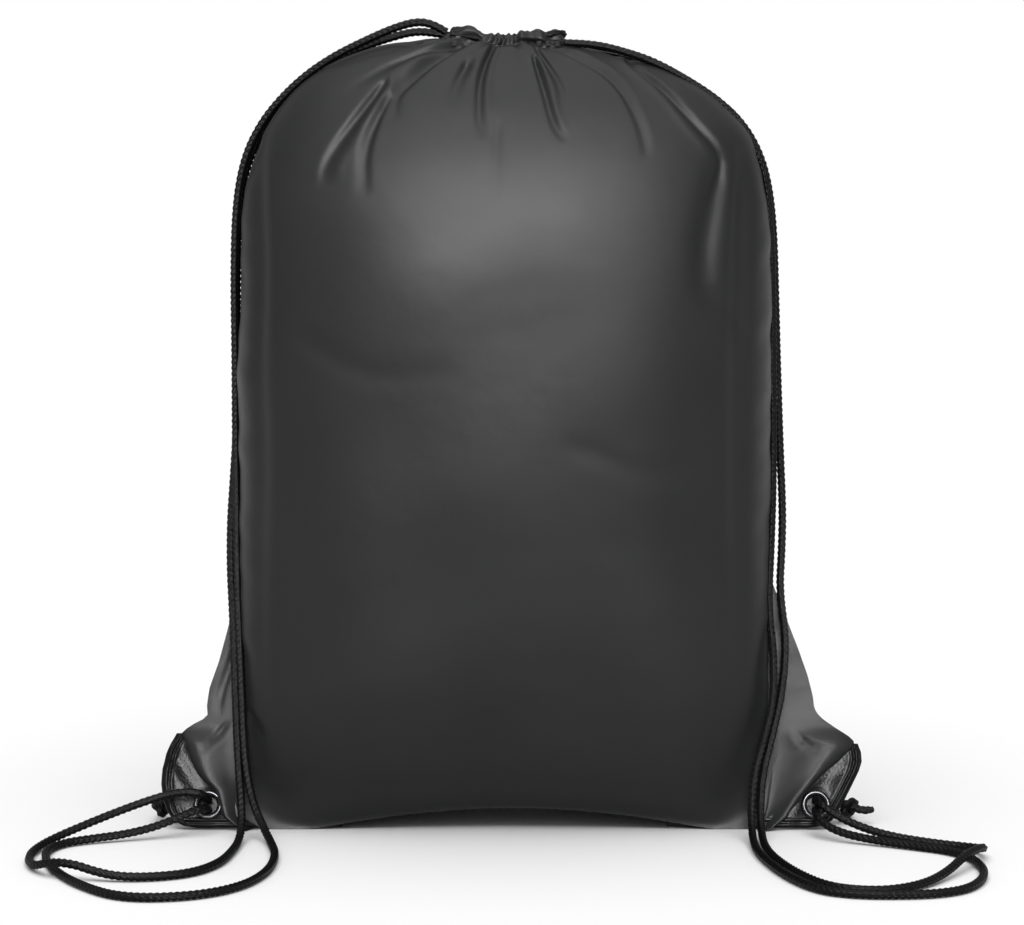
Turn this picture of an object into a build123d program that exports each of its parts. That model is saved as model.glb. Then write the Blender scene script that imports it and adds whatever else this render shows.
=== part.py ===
"""Drawstring backpack, stuffed and standing on its base, with its cords lying on the floor.

Frame: +X to the right as worn front-on, +Y to the back, +Z up, millimetres.
The origin is the middle of the bag's footprint, on the floor.
"""
import math
import os

from build123d import *

os.makedirs("parts", exist_ok=True)

# ---- driving dimensions -------------------------------------------------------------
CLOTH = 1.2                # bag cloth with its lining air, as one wall
CORD_DIAMETER = 4.0        # braided drawcord
RIM_HEIGHT = 378.0         # where the gathered panels meet the casings
SHOULDER_CORNERS = 2.5     # exponent of the body's rounded-box outline, 2 is an ellipse
BASE_CORNERS = 4.5         # the outline is squarer at the floor
SQUARE_HEIGHT = 150.0      # above this the outline keeps the shoulder's exponent

# Height, left edge, right edge and half depth of the stuffed body, floor to rim.
STATIONS = [
    (0, -125, 117, 43), (5, -129, 121, 48), (20, -132, 124, 54), (60, -133, 125, 66),
    (120, -132.5, 125, 75), (180, -132, 125, 78), (240, -132, 125, 77), (280, -131.5, 124, 73),
    (305, -130, 121, 68), (322, -126, 118, 62), (338, -118.5, 111.5, 54), (350, -110, 100, 47),
    (360, -101, 84, 39), (368, -89, 68, 31), (374, -70, 50, 22), (RIM_HEIGHT, -34, 26, 14),
]

BASE_ARCH_SPAN = 194.0     # the bottom hem lifts off the floor between the two low sides
BASE_ARCH_RISE = 10.0

MOUTH_LENGTH = 46.0
MOUTH_WIDTH = 12.0
MOUTH_CENTRE_X = -3.0

CASING_LENGTH = 53.0
CASING_DEPTH = 7.0
CASING_HEIGHT = 10.8
CASING_Y = 9.5
CHANNEL_DEPTH = 5.0
CHANNEL_HEIGHT = 9.4
LEFT_CORD_Z = 385.6        # the left cord runs above the right cord inside both casings
RIGHT_CORD_Z = 381.2

WING_LEAN = math.radians(16.7)   # the empty lower corners lean back from the front hem
WING_FOOT_Y = -46.0
PATCH = 1.0                # coated corner reinforcement
PATCH_GAP = 0.1

EYELET_X = 148.0
EYELET_REACH = 11.7        # up the wing from the floor line
EYELET_HOLE = 9.4
EYELET_OUTER = 14.6
EYELET_BARREL = 10.4
EYELET_FLANGE = 0.8

KNOT_LENGTH = 13.0
KNOT_WIDTH = 10.0

SEAM_Y = -4.0              # the side seams run up the bag a little in front of its middle
SEAM_ALLOWANCE = 7.0
SEAM_THICKNESS = 1.0
SIDE_SEAM_INSET = 2.4      # turned in from the wall's inner face
BOTTOM_SEAM_REACH = 74.0
BOTTOM_SEAM_Y = -26.0
STITCH_BAR = (9.0, 1.0, 2.2)
BAR_TACK_INSET = 6.0       # in from each casing end
BAR_TACK_RISE = 2.6
CUT_CLEAR = 200.0          # half length of tools that cut right through


def save(piece, name):
    """Label one finished piece and write it as its own STEP file."""
    piece.part.label = name
    export_step(piece.part, f"parts/{name}.step")


# ---- the body's shape ---------------------------------------------------------------
def outline_points(height, left, right, half_depth, count=28):
    """A rounded-box outline through `count` points, from its left end round the front."""
    middle = (left + right) / 2
    half_width = (right - left) / 2
    share = max(0, 1 - height / SQUARE_HEIGHT)
    power = 2 / (SHOULDER_CORNERS + (BASE_CORNERS - SHOULDER_CORNERS) * share)
    points = []
    for step in range(count):
        angle = math.pi + 2 * math.pi * step / count
        across, along = math.cos(angle), math.sin(angle)
        points.append((
            middle + half_width * math.copysign(abs(across) ** power, across),
            half_depth * math.copysign(abs(along) ** power, along),
        ))
    return points


def body_solid(inset):
    """The stuffed body as a solid, `inset` inside its outer face."""
    with BuildPart() as body:
        for height, left, right, half_depth in STATIONS:
            drop = inset * (1.6 if height > 340 else 0.6 if height > 300 else 0)
            lift = inset if height == 0 else 0
            with BuildSketch(Plane.XY.offset(height + lift - drop)):
                with BuildLine():
                    walls = left + inset, right - inset, half_depth - inset
                    Spline(*outline_points(height, *walls), periodic=True)
                make_face()
        loft()
        rise = BASE_ARCH_RISE + inset
        span = BASE_ARCH_SPAN + 2 * inset
        radius = (span * span / 4 + rise * rise) / (2 * rise)
        with BuildSketch(Plane.XZ):
            with Locations((0, rise - radius)):
                Circle(radius)
        extrude(amount=CUT_CLEAR, both=True, mode=Mode.SUBTRACT)
    return body.part


with BuildPart() as shell:
    add(body_solid(0))
    add(body_solid(CLOTH), mode=Mode.SUBTRACT)
    with BuildSketch(Plane.XY.offset(RIM_HEIGHT - 8)):
        with Locations((MOUTH_CENTRE_X, 0)):
            SlotOverall(MOUTH_LENGTH, MOUTH_WIDTH)
    extrude(amount=20, mode=Mode.SUBTRACT)

# The plane of the empty lower corners: local x runs along the bag, local y up the lean.
wing_plane = Plane(
    origin=(0, WING_FOOT_Y, 0), x_dir=(1, 0, 0), z_dir=(0, -math.cos(WING_LEAN), math.sin(WING_LEAN))
)

# Outer edge of each wing, up from the corner on the floor: a rounded ear, a notch, then a
# long taper into the body's side.
LEFT_WING = [
    (-120, 0.6), (-158, 0.6), (-164, 5), (-168.5, 12), (-170.5, 21), (-169.5, 33), (-166, 44),
    (-159, 47.5), (-149, 51.5), (-149.6, 60), (-147, 71), (-141.5, 92), (-134, 118), (-120, 118),
]
RIGHT_WING = [
    (112, 0.6), (152, 0.6), (156, 5), (162, 14), (167, 24), (170.5, 33), (168.5, 40),
    (158, 49), (149, 56.5), (148, 63), (144, 78), (137, 97), (127, 122), (112, 122),
]


def wing_plate(points, thickness):
    """One cloth layer of a wing, on the wing plane, with the eyelet's hole through it."""
    eyelet_x = math.copysign(EYELET_X, points[0][0])
    with BuildPart() as plate:
        with BuildSketch(wing_plane):
            with BuildLine():
                Polyline(*points, close=True)
            make_face()
            with Locations((eyelet_x, EYELET_REACH)):
                Circle(EYELET_BARREL / 2, mode=Mode.SUBTRACT)
        extrude(amount=thickness)
        add(body_solid(CLOTH / 2), mode=Mode.SUBTRACT)
    return plate.part


# Front and back of the bag part along the side seams: up the lean, then straight up.
seam_bend = (SEAM_Y - WING_FOOT_Y) / math.tan(WING_LEAN)
with BuildPart() as front_half:
    with BuildSketch(Plane.YZ):
        with BuildLine():
            Polyline(
                (WING_FOOT_Y, -5), (WING_FOOT_Y, 0), (SEAM_Y, seam_bend), (SEAM_Y, RIM_HEIGHT + 40),
                (-CUT_CLEAR, RIM_HEIGHT + 40), (-CUT_CLEAR, -5), close=True,
            )
        make_face()
    extrude(amount=CUT_CLEAR, both=True)

with BuildPart() as front_panel:
    add(shell.part)
    add(front_half.part, mode=Mode.INTERSECT)
    for wing in (LEFT_WING, RIGHT_WING):
        add(wing_plate(wing, CLOTH / 2))
save(front_panel, "front_panel")

with BuildPart() as back_panel:
    add(shell.part)
    add(front_half.part, mode=Mode.SUBTRACT)
    for wing in (LEFT_WING, RIGHT_WING):
        add(wing_plate(wing, -CLOTH / 2))
save(back_panel, "back_panel")


# ---- casings at the mouth -----------------------------------------------------------
def casing(name, y):
    """A hem channel along one side of the mouth, open at both ends for the cords."""
    middle = RIM_HEIGHT + CASING_HEIGHT / 2
    with BuildPart() as channel:
        with BuildSketch(Plane.YZ.offset(MOUTH_CENTRE_X - CASING_LENGTH / 2)):
            with Locations((y, middle)):
                RectangleRounded(CASING_DEPTH, CASING_HEIGHT, 2.4)
                SlotOverall(CHANNEL_HEIGHT, CHANNEL_DEPTH, rotation=90, mode=Mode.SUBTRACT)
        extrude(amount=CASING_LENGTH)
    save(channel, name)


casing("front_casing", -CASING_Y)
casing("back_casing", CASING_Y)


def bar_tack(name, x):
    """Dense stitch bars across the seam below one cord slit, front and back."""
    length, depth, height = STITCH_BAR
    with BuildPart() as bars:
        for y in (-CASING_Y, CASING_Y):
            outside = math.copysign(CASING_Y + (CASING_DEPTH + depth) / 2, y)
            with Locations((x, outside, RIM_HEIGHT + BAR_TACK_RISE)):
                Box(length, depth, height)
    save(bars, name)


bar_tack("left_bar_tacks", MOUTH_CENTRE_X - CASING_LENGTH / 2 + BAR_TACK_INSET)
bar_tack("right_bar_tacks", MOUTH_CENTRE_X + CASING_LENGTH / 2 - BAR_TACK_INSET)


# ---- seams --------------------------------------------------------------------------
def side_seam(name, side):
    """The turned-in seam allowance that joins front and back panels inside one edge."""
    edge = 1 if side < 0 else 2
    heights = [station for station in STATIONS if 100 < station[0] < 345]
    with BuildPart() as seam:
        with BuildSketch(Plane.XZ.offset(-SEAM_Y)):
            with BuildLine():
                outer = [(row[edge] - side * (CLOTH + SIDE_SEAM_INSET), row[0]) for row in heights]
                inner = [(x - side * SEAM_ALLOWANCE, z) for x, z in outer]
                Spline(*outer)
                Line(outer[-1], inner[-1])
                Spline(*reversed(inner))
                Line(inner[0], outer[0])
            make_face()
        extrude(amount=SEAM_THICKNESS / 2, both=True)
    save(seam, name)


side_seam("left_side_seam", -1)
side_seam("right_side_seam", 1)

with BuildPart() as bottom_seam:
    reach = BOTTOM_SEAM_REACH
    crown = CLOTH + 0.4 + BASE_ARCH_RISE
    end = crown - BASE_ARCH_RISE * (2 * reach / BASE_ARCH_SPAN) ** 2
    top = SEAM_THICKNESS
    with BuildSketch(Plane.XZ.offset(-BOTTOM_SEAM_Y)):
        with BuildLine():
            ThreePointArc((-reach, end), (0, crown), (reach, end))
            Line((reach, end), (reach, end + top))
            ThreePointArc((reach, end + top), (0, crown + top), (-reach, end + top))
            Line((-reach, end + top), (-reach, end))
        make_face()
    extrude(amount=SEAM_ALLOWANCE)
save(bottom_seam, "bottom_seam")


# ---- corner patches and eyelets -----------------------------------------------------
LEFT_PATCH = [(-134, 0.8), (-158, 0.8), (-164, 5), (-168.5, 12), (-170.5, 21), (-169.5, 33), (-166, 43)]
RIGHT_PATCH = [(128, 0.8), (152, 0.8), (156, 5), (162, 14), (167, 24), (170.5, 33), (168, 39)]


def corner_patch(name, points, x, near, amount):
    """A coated triangle sewn over one bag corner, pierced for the eyelet."""
    with BuildPart() as patch:
        with BuildSketch(wing_plane.offset(near)):
            with BuildLine():
                Polyline(*points, close=True)
            make_face()
            with Locations((x, EYELET_REACH)):
                Circle(EYELET_BARREL / 2, mode=Mode.SUBTRACT)
        extrude(amount=amount)
    save(patch, name)


def eyelet(name, washer_name, x):
    """A rolled eyelet from the front with its washer set from the back."""
    front = CLOTH / 2 + PATCH_GAP + PATCH
    with BuildPart() as grommet:
        with BuildSketch(wing_plane.offset(front)):
            with Locations((x, EYELET_REACH)):
                Circle(EYELET_OUTER / 2)
                Circle(EYELET_HOLE / 2, mode=Mode.SUBTRACT)
        extrude(amount=EYELET_FLANGE)
        with BuildSketch(wing_plane.offset(-front - EYELET_FLANGE)):
            with Locations((x, EYELET_REACH)):
                Circle(EYELET_BARREL / 2)
                Circle(EYELET_HOLE / 2, mode=Mode.SUBTRACT)
        extrude(amount=2 * front + EYELET_FLANGE)
        fillet(grommet.edges().group_by(SortBy.LENGTH)[-1], EYELET_FLANGE * 0.45)
    save(grommet, name)
    with BuildPart() as washer:
        with BuildSketch(wing_plane.offset(-front)):
            with Locations((x, EYELET_REACH)):
                Circle(EYELET_OUTER / 2)
                Circle(EYELET_BARREL / 2, mode=Mode.SUBTRACT)
        extrude(amount=-EYELET_FLANGE)
    save(washer, washer_name)


for side_name, patch_points, eyelet_x in (
    ("left", LEFT_PATCH, -EYELET_X),
    ("right", RIGHT_PATCH, EYELET_X),
):
    front_face = CLOTH / 2 + PATCH_GAP
    corner_patch(f"{side_name}_corner_patch_front", patch_points, eyelet_x, front_face, PATCH)
    corner_patch(f"{side_name}_corner_patch_back", patch_points, eyelet_x, -front_face, -PATCH)
    eyelet(f"{side_name}_eyelet", f"{side_name}_eyelet_washer", eyelet_x)


# ---- cords --------------------------------------------------------------------------
# One cord enters the casings from each side, runs round the mouth and leaves where it came
# in. Its two free strands run down the bag, loop over the floor and end in a knot behind
# the eyelet of the same side. Every list below is one strand's route.
LEFT_FRONT_ROUTE = [
    (-32, -9.5, 386.4), (-38, -9.5, 390.2), (-46.5, -9.5, 391.6), (-58, -9, 388.3), (-72, -8.5, 382.2),
    (-86, -8, 375.4), (-99.2, -8, 366.9), (-111.5, -8, 356), (-122.5, -8, 342.8), (-130.9, -8.5, 326),
    (-135.3, -9, 303), (-136.4, -10, 268), (-136.1, -10.5, 226), (-136.2, -11.8, 188), (-135.6, -15.2, 158),
    (-135.2, -20.8, 128), (-134, -27.2, 103), (-131.5, -40, 67), (-129.2, -53, 36), (-124.9, -60, 16.4),
    (-118.5, -69.5, 6), (-113.7, -84, 2.4), (-109.5, -106, 2.2), (-110.2, -135, 2.2), (-118.5, -160, 2.2),
    (-133.4, -175.6, 2.2), (-155.6, -182.3, 2.2), (-174, -178.5, 2.2), (-190, -162, 2.2),
    (-204, -141.2, 2.2), (-214.6, -117, 2.2), (-218, -97, 2.2), (-213, -83, 2.2), (-201, -75.5, 2.4),
    (-184.2, -70, 3.4), (-170.6, -65.5, 6), (-160, -61.5, 9.6), (-151, -58.5, 13), (-147.6, -53.8, 12.6),
    (-148, -49.99, 11.06),
]
LEFT_REAR_ROUTE = [
    (-31.2, 9.5, 385.8), (-39, 9, 387.5), (-48.5, 6.5, 387.8), (-60, 3.5, 384.6), (-73, 1, 380),
    (-86.5, 0, 373.4), (-98.5, -0.5, 365.2), (-110, -1, 354.8), (-121, -1, 341.5), (-129.8, -1.5, 325.5),
    (-134.4, -2, 304), (-136, -2.5, 270), (-136.1, -3, 230), (-136.4, -3.5, 195), (-138, -6, 168),
    (-139.2, -11, 147), (-138.9, -17, 124), (-137.3, -23, 103), (-134.9, -37, 67), (-132.7, -50, 36),
    (-130.3, -60, 17.5), (-129.2, -69, 6.6), (-129.5, -80, 2.5), (-130.7, -98, 2.2), (-134, -120.8, 2.2),
    (-143.9, -138.5, 2.2), (-160.6, -146, 2.2), (-176.2, -146.6, 2.4), (-187.5, -144.4, 4.2),
    (-197.5, -142.5, 7.2), (-208.5, -138.4, 7.2), (-217.5, -130, 3), (-223, -115.5, 2.2),
    (-224.2, -98, 2.2), (-218.6, -81, 3.4), (-203, -69.5, 8.3), (-185.7, -60.8, 13.8),
    (-169.5, -55.8, 18.6), (-158.5, -56.6, 21), (-150, -56.8, 20.2), (-147.7, -52.6, 17.4),
    (-148, -48.7, 15.37),
]
RIGHT_FRONT_ROUTE = [
    (25.6, -9.5, 381.2), (36, -9.6, 380.9), (47, -9.4, 379.2), (59.4, -9, 375.6), (72.5, -8.6, 370.4),
    (86, -8.4, 363.3), (99.6, -8.4, 354.5), (110.9, -8.5, 344.4), (119.3, -8.8, 330.6), (124.9, -9, 313.8),
    (126.8, -9.5, 290), (128.1, -10, 255), (128.4, -11, 215), (128.9, -13.5, 171), (127.6, -18, 134),
    (125.7, -26, 107), (127.8, -36, 83.5), (127, -43.5, 63), (121.8, -50.6, 45), (116.7, -57, 29.6),
    (114.7, -64, 13.8), (114.3, -75, 4.2), (114.2, -91, 2.2), (116, -112, 2.2), (123, -143, 2.2),
    (134.2, -168, 2.2), (150, -176, 2.2), (169.5, -177, 2.2), (187, -174.6, 2.2), (201.4, -166.5, 2.2),
    (211, -150, 2.2), (214.6, -131.9, 2.2), (213.4, -113.5, 2.2), (206.5, -98.5, 2.2), (191, -89, 2.2),
    (171.5, -79, 2.6), (156, -71.5, 4.6), (147.2, -63.5, 8.4), (146.8, -56.4, 11.2), (148, -49.99, 11.06),
]
RIGHT_REAR_ROUTE = [
    (25.6, 9.5, 381.2), (35.5, 9.6, 380.7), (46.5, 8, 379.8), (58.5, 3.6, 377), (71.5, 0.4, 372),
    (85.5, -1, 364), (99.3, -1, 355), (111.5, -1, 344.9), (120.6, -1.4, 331.2), (126.2, -2, 314),
    (129, -2.5, 290), (130.2, -3, 255), (131.6, -3.6, 215), (133, -6, 178), (134, -10, 152),
    (133.2, -15, 132), (131.7, -20, 114), (134.4, -28.5, 91), (132, -38, 68), (126, -47, 46),
    (121, -54, 29.6), (119.1, -61.8, 13.4), (118.9, -73, 4.2), (119, -90, 2.2), (121, -110, 2.2),
    (127.6, -136, 2.2), (138.4, -160, 2.2), (151, -168.4, 2.2), (167, -168.8, 2.2), (183.7, -158.5, 2.4),
    (196.5, -142, 3.6), (206.6, -126.5, 7.2), (217, -110.6, 7.2), (220.6, -99.5, 3.6), (214.5, -90.2, 2.2),
    (198.8, -83, 2.3), (178.2, -73.4, 3.6), (162.4, -65.4, 7.6), (151, -60.2, 13.4), (147.6, -54.6, 16.4),
    (148, -48.7, 15.37),
]


def cord_tube(route, name):
    """A round tube along a route: straight runs joined by arcs as large as the runs allow."""
    points = [Vector(*point) for point in route]
    runs = [after - before for before, after in zip(points, points[1:])]
    radii = []
    for before, after in zip(runs, runs[1:]):
        half_turn = math.radians(before.get_angle(after)) / 2
        radii.append(0.45 * min(before.length, after.length) / math.tan(half_turn))
    with BuildPart() as tube:
        with BuildLine() as path:
            FilletPolyline(*points, radius=radii)
        with BuildSketch(Plane(origin=path.line @ 0, z_dir=path.line % 0)):
            Circle(CORD_DIAMETER / 2)
        sweep()
    length = sum(edge.length for edge in path.edges())
    section = math.pi * CORD_DIAMETER ** 2 / 4
    print(f"{name}: length {length:.0f}, tightest arc {min(radii):.1f}, longest run "
          f"{max(run.length for run in runs):.0f}, volume ratio {tube.part.volume / (section * length):.3f}")
    print("   radii", " ".join(f"{radius:.0f}" for radius in radii))
    return tube.part


def cord_node(name, *routes):
    """Write the tubes of one cord piece as a node."""
    with BuildPart() as piece:
        for route in routes:
            add(cord_tube(route, name))
    save(piece, name)


cord_node("left_front_strand", LEFT_FRONT_ROUTE)
cord_node("left_rear_strand", LEFT_REAR_ROUTE)
cord_node("right_front_strand", RIGHT_FRONT_ROUTE)
cord_node("right_rear_strand", RIGHT_REAR_ROUTE)


def drawcord(name, exit_x, turn_x, height):
    """The stretch of one cord inside the casings, doubled back at the far end of the mouth."""
    middle = turn_x + math.copysign(CASING_Y, turn_x - exit_x)
    with BuildPart() as cord:
        with BuildLine() as path:
            Line((exit_x, -CASING_Y, height), (turn_x, -CASING_Y, height))
            ThreePointArc((turn_x, -CASING_Y, height), (middle, 0, height), (turn_x, CASING_Y, height))
            Line((turn_x, CASING_Y, height), (exit_x, CASING_Y, height))
        with BuildSketch(Plane(origin=path.line @ 0, z_dir=path.line % 0)):
            Circle(CORD_DIAMETER / 2)
        sweep()
    save(cord, name)


drawcord("left_drawcord", -30, 28, LEFT_CORD_Z)
drawcord("right_drawcord", 25, -33, RIGHT_CORD_Z)


def knot(name, x, y, z):
    """The stopper knot that keeps both strands from pulling back through the eyelet."""
    with BuildPart() as lump:
        with BuildSketch(Plane(origin=(x, y, z), x_dir=(1, 0, 0), z_dir=(0, -1, 0))):
            Ellipse(KNOT_LENGTH / 2, KNOT_WIDTH / 2)
            Rectangle(KNOT_LENGTH, KNOT_WIDTH, align=(Align.CENTER, Align.MAX), mode=Mode.SUBTRACT)
        revolve(axis=Axis((x, y, z), (1, 0, 0)))
    save(lump, name)


# Behind each eyelet both strands turn outward to the knot, and short cut tails leave it.
cord_node(
    "left_cord_end",
    [(-148, -47.74, 15.08), (-148, -35.5, 11.4), (-153.5, -30.6, 10.2), (-167, -30.6, 9.5)],
    [(-148, -49.03, 10.77), (-148, -36.8, 7.1), (-153.5, -31.6, 5.8), (-167, -31.6, 5.3)],
)
cord_node(
    "right_cord_end",
    [(148, -47.74, 15.08), (148, -35.5, 11.4), (152.5, -31.2, 10.2), (161, -30.8, 9.5)],
    [(148, -49.03, 10.77), (148, -36.8, 7.1), (152.5, -32.2, 5.8), (161, -31.6, 5.3)],
)
knot("left_knot", -172, -31, 7.6)
knot("right_knot", 165.5, -31, 7.6)
cord_node(
    "left_cord_tails",
    [(-173, -29, 9.4), (-175.5, -22.5, 8), (-175, -15.5, 5.8)],
    [(-170.5, -29, 5.6), (-169.6, -22, 5), (-166.5, -16, 4.6)],
)
cord_node(
    "right_cord_tails",
    [(167, -33, 8.4), (172, -36.2, 6.2), (177.4, -35.4, 7.6)],
    [(166.5, -29, 5.6), (169, -22.5, 5), (168.5, -16, 4.6)],
)
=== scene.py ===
"""Looks of a stuffed drawstring backpack standing on the floor, laid over its fixed parts."""
import math

import bpy
import numpy as np
from bpy.props import FloatProperty, FloatVectorProperty, PointerProperty
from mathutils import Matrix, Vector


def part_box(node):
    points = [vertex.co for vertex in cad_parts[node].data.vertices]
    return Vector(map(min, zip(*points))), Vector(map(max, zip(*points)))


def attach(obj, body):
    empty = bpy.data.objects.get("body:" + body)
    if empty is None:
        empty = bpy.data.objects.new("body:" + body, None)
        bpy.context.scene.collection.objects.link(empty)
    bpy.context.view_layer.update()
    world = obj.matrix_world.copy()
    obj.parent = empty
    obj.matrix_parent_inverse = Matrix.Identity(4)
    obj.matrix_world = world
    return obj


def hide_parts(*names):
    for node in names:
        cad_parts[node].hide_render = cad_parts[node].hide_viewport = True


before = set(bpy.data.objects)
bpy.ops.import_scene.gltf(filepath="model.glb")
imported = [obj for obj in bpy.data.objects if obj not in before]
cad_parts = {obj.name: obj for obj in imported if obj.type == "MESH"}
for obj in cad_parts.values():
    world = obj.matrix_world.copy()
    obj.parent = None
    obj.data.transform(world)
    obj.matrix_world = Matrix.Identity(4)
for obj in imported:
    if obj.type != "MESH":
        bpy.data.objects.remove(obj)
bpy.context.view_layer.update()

bl_info = {
    "name": "Drawstring Backpack",
    "version": (1, 0, 0),
    "blender": (4, 5, 0),
    "location": "View3D > Sidebar > Backpack",
    "description": "Builds the cloth, corners, cords and stage of a drawstring backpack",
    "category": "Object",
}

MM = 0.001

# ---- cord routes, metres --------------------------------------------------------------
# Each free strand runs from a casing end down the bag, loops over the floor and goes back
# into the corner eyelet of its own side.
LEFT_FRONT_ROUTE = [
    (-0.032, -0.0095, 0.3864), (-0.038, -0.0095, 0.3902), (-0.0465, -0.0095, 0.3916),
    (-0.058, -0.009, 0.3883), (-0.072, -0.0085, 0.3822), (-0.086, -0.008, 0.3754),
    (-0.0992, -0.008, 0.3669), (-0.1115, -0.008, 0.356), (-0.1225, -0.008, 0.3428),
    (-0.1309, -0.0085, 0.326), (-0.1353, -0.009, 0.303), (-0.1364, -0.01, 0.268),
    (-0.1361, -0.0105, 0.226), (-0.1362, -0.0118, 0.188), (-0.1356, -0.0152, 0.158),
    (-0.1352, -0.0208, 0.128), (-0.134, -0.0272, 0.103), (-0.1315, -0.04, 0.067),
    (-0.1292, -0.053, 0.036), (-0.1249, -0.06, 0.0164), (-0.1185, -0.0695, 0.006),
    (-0.1137, -0.084, 0.0024), (-0.1095, -0.106, 0.0022), (-0.1102, -0.135, 0.0022),
    (-0.1185, -0.16, 0.0022), (-0.1334, -0.1756, 0.0022), (-0.1556, -0.1823, 0.0022),
    (-0.174, -0.1785, 0.0022), (-0.19, -0.162, 0.0022), (-0.204, -0.1412, 0.0022),
    (-0.2146, -0.117, 0.0022), (-0.218, -0.097, 0.0022), (-0.213, -0.083, 0.0022),
    (-0.201, -0.0755, 0.0024), (-0.1842, -0.07, 0.0034), (-0.1706, -0.0655, 0.006),
    (-0.16, -0.0615, 0.0096), (-0.151, -0.0585, 0.013), (-0.1476, -0.0538, 0.0126),
    (-0.148, -0.04999, 0.01106),
]
LEFT_REAR_ROUTE = [
    (-0.0312, 0.0095, 0.3858), (-0.039, 0.009, 0.3875), (-0.0485, 0.0065, 0.3878),
    (-0.06, 0.0035, 0.3846), (-0.073, 0.001, 0.38), (-0.0865, 0, 0.3734), (-0.0985, -0.0005, 0.3652),
    (-0.11, -0.001, 0.3548), (-0.121, -0.001, 0.3415), (-0.1298, -0.0015, 0.3255),
    (-0.1344, -0.002, 0.304), (-0.136, -0.0025, 0.27), (-0.1361, -0.003, 0.23), (-0.1364, -0.0035, 0.195),
    (-0.138, -0.006, 0.168), (-0.1392, -0.011, 0.147), (-0.1389, -0.017, 0.124), (-0.1373, -0.023, 0.103),
    (-0.1349, -0.037, 0.067), (-0.1327, -0.05, 0.036), (-0.1303, -0.06, 0.0175),
    (-0.1292, -0.069, 0.0066), (-0.1295, -0.08, 0.0025), (-0.1307, -0.098, 0.0022),
    (-0.134, -0.1208, 0.0022), (-0.1439, -0.1385, 0.0022), (-0.1606, -0.146, 0.0022),
    (-0.1762, -0.1466, 0.0024), (-0.1875, -0.1444, 0.0042), (-0.1975, -0.1425, 0.0072),
    (-0.2085, -0.1384, 0.0072), (-0.2175, -0.13, 0.003), (-0.223, -0.1155, 0.0022),
    (-0.2242, -0.098, 0.0022), (-0.2186, -0.081, 0.0034), (-0.203, -0.0695, 0.0083),
    (-0.1857, -0.0608, 0.0138), (-0.1695, -0.0558, 0.0186), (-0.1585, -0.0566, 0.021),
    (-0.15, -0.0568, 0.0202), (-0.1477, -0.0526, 0.0174), (-0.148, -0.0487, 0.01537),
]
RIGHT_FRONT_ROUTE = [
    (0.0256, -0.0095, 0.3812), (0.036, -0.0096, 0.3809), (0.047, -0.0094, 0.3792),
    (0.0594, -0.009, 0.3756), (0.0725, -0.0086, 0.3704), (0.086, -0.0084, 0.3633),
    (0.0996, -0.0084, 0.3545), (0.1109, -0.0085, 0.3444), (0.1193, -0.0088, 0.3306),
    (0.1249, -0.009, 0.3138), (0.1268, -0.0095, 0.29), (0.1281, -0.01, 0.255), (0.1284, -0.011, 0.215),
    (0.1289, -0.0135, 0.171), (0.1276, -0.018, 0.134), (0.1257, -0.026, 0.107), (0.1278, -0.036, 0.0835),
    (0.127, -0.0435, 0.063), (0.1218, -0.0506, 0.045), (0.1167, -0.057, 0.0296), (0.1147, -0.064, 0.0138),
    (0.1143, -0.075, 0.0042), (0.1142, -0.091, 0.0022), (0.116, -0.112, 0.0022), (0.123, -0.143, 0.0022),
    (0.1342, -0.168, 0.0022), (0.15, -0.176, 0.0022), (0.1695, -0.177, 0.0022), (0.187, -0.1746, 0.0022),
    (0.2014, -0.1665, 0.0022), (0.211, -0.15, 0.0022), (0.2146, -0.1319, 0.0022),
    (0.2134, -0.1135, 0.0022), (0.2065, -0.0985, 0.0022), (0.191, -0.089, 0.0022),
    (0.1715, -0.079, 0.0026), (0.156, -0.0715, 0.0046), (0.1472, -0.0635, 0.0084),
    (0.1468, -0.0564, 0.0112), (0.148, -0.04999, 0.01106),
]
RIGHT_REAR_ROUTE = [
    (0.0256, 0.0095, 0.3812), (0.0355, 0.0096, 0.3807), (0.0465, 0.008, 0.3798), (0.0585, 0.0036, 0.377),
    (0.0715, 0.0004, 0.372), (0.0855, -0.001, 0.364), (0.0993, -0.001, 0.355), (0.1115, -0.001, 0.3449),
    (0.1206, -0.0014, 0.3312), (0.1262, -0.002, 0.314), (0.129, -0.0025, 0.29), (0.1302, -0.003, 0.255),
    (0.1316, -0.0036, 0.215), (0.133, -0.006, 0.178), (0.134, -0.01, 0.152), (0.1332, -0.015, 0.132),
    (0.1317, -0.02, 0.114), (0.1344, -0.0285, 0.091), (0.132, -0.038, 0.068), (0.126, -0.047, 0.046),
    (0.121, -0.054, 0.0296), (0.1191, -0.0618, 0.0134), (0.1189, -0.073, 0.0042), (0.119, -0.09, 0.0022),
    (0.121, -0.11, 0.0022), (0.1276, -0.136, 0.0022), (0.1384, -0.16, 0.0022), (0.151, -0.1684, 0.0022),
    (0.167, -0.1688, 0.0022), (0.1837, -0.1585, 0.0024), (0.1965, -0.142, 0.0036),
    (0.2066, -0.1265, 0.0072), (0.217, -0.1106, 0.0072), (0.2206, -0.0995, 0.0036),
    (0.2145, -0.0902, 0.0022), (0.1988, -0.083, 0.0023), (0.1782, -0.0734, 0.0036),
    (0.1624, -0.0654, 0.0076), (0.151, -0.0602, 0.0134), (0.1476, -0.0546, 0.0164),
    (0.148, -0.0487, 0.01537),
]

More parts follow.
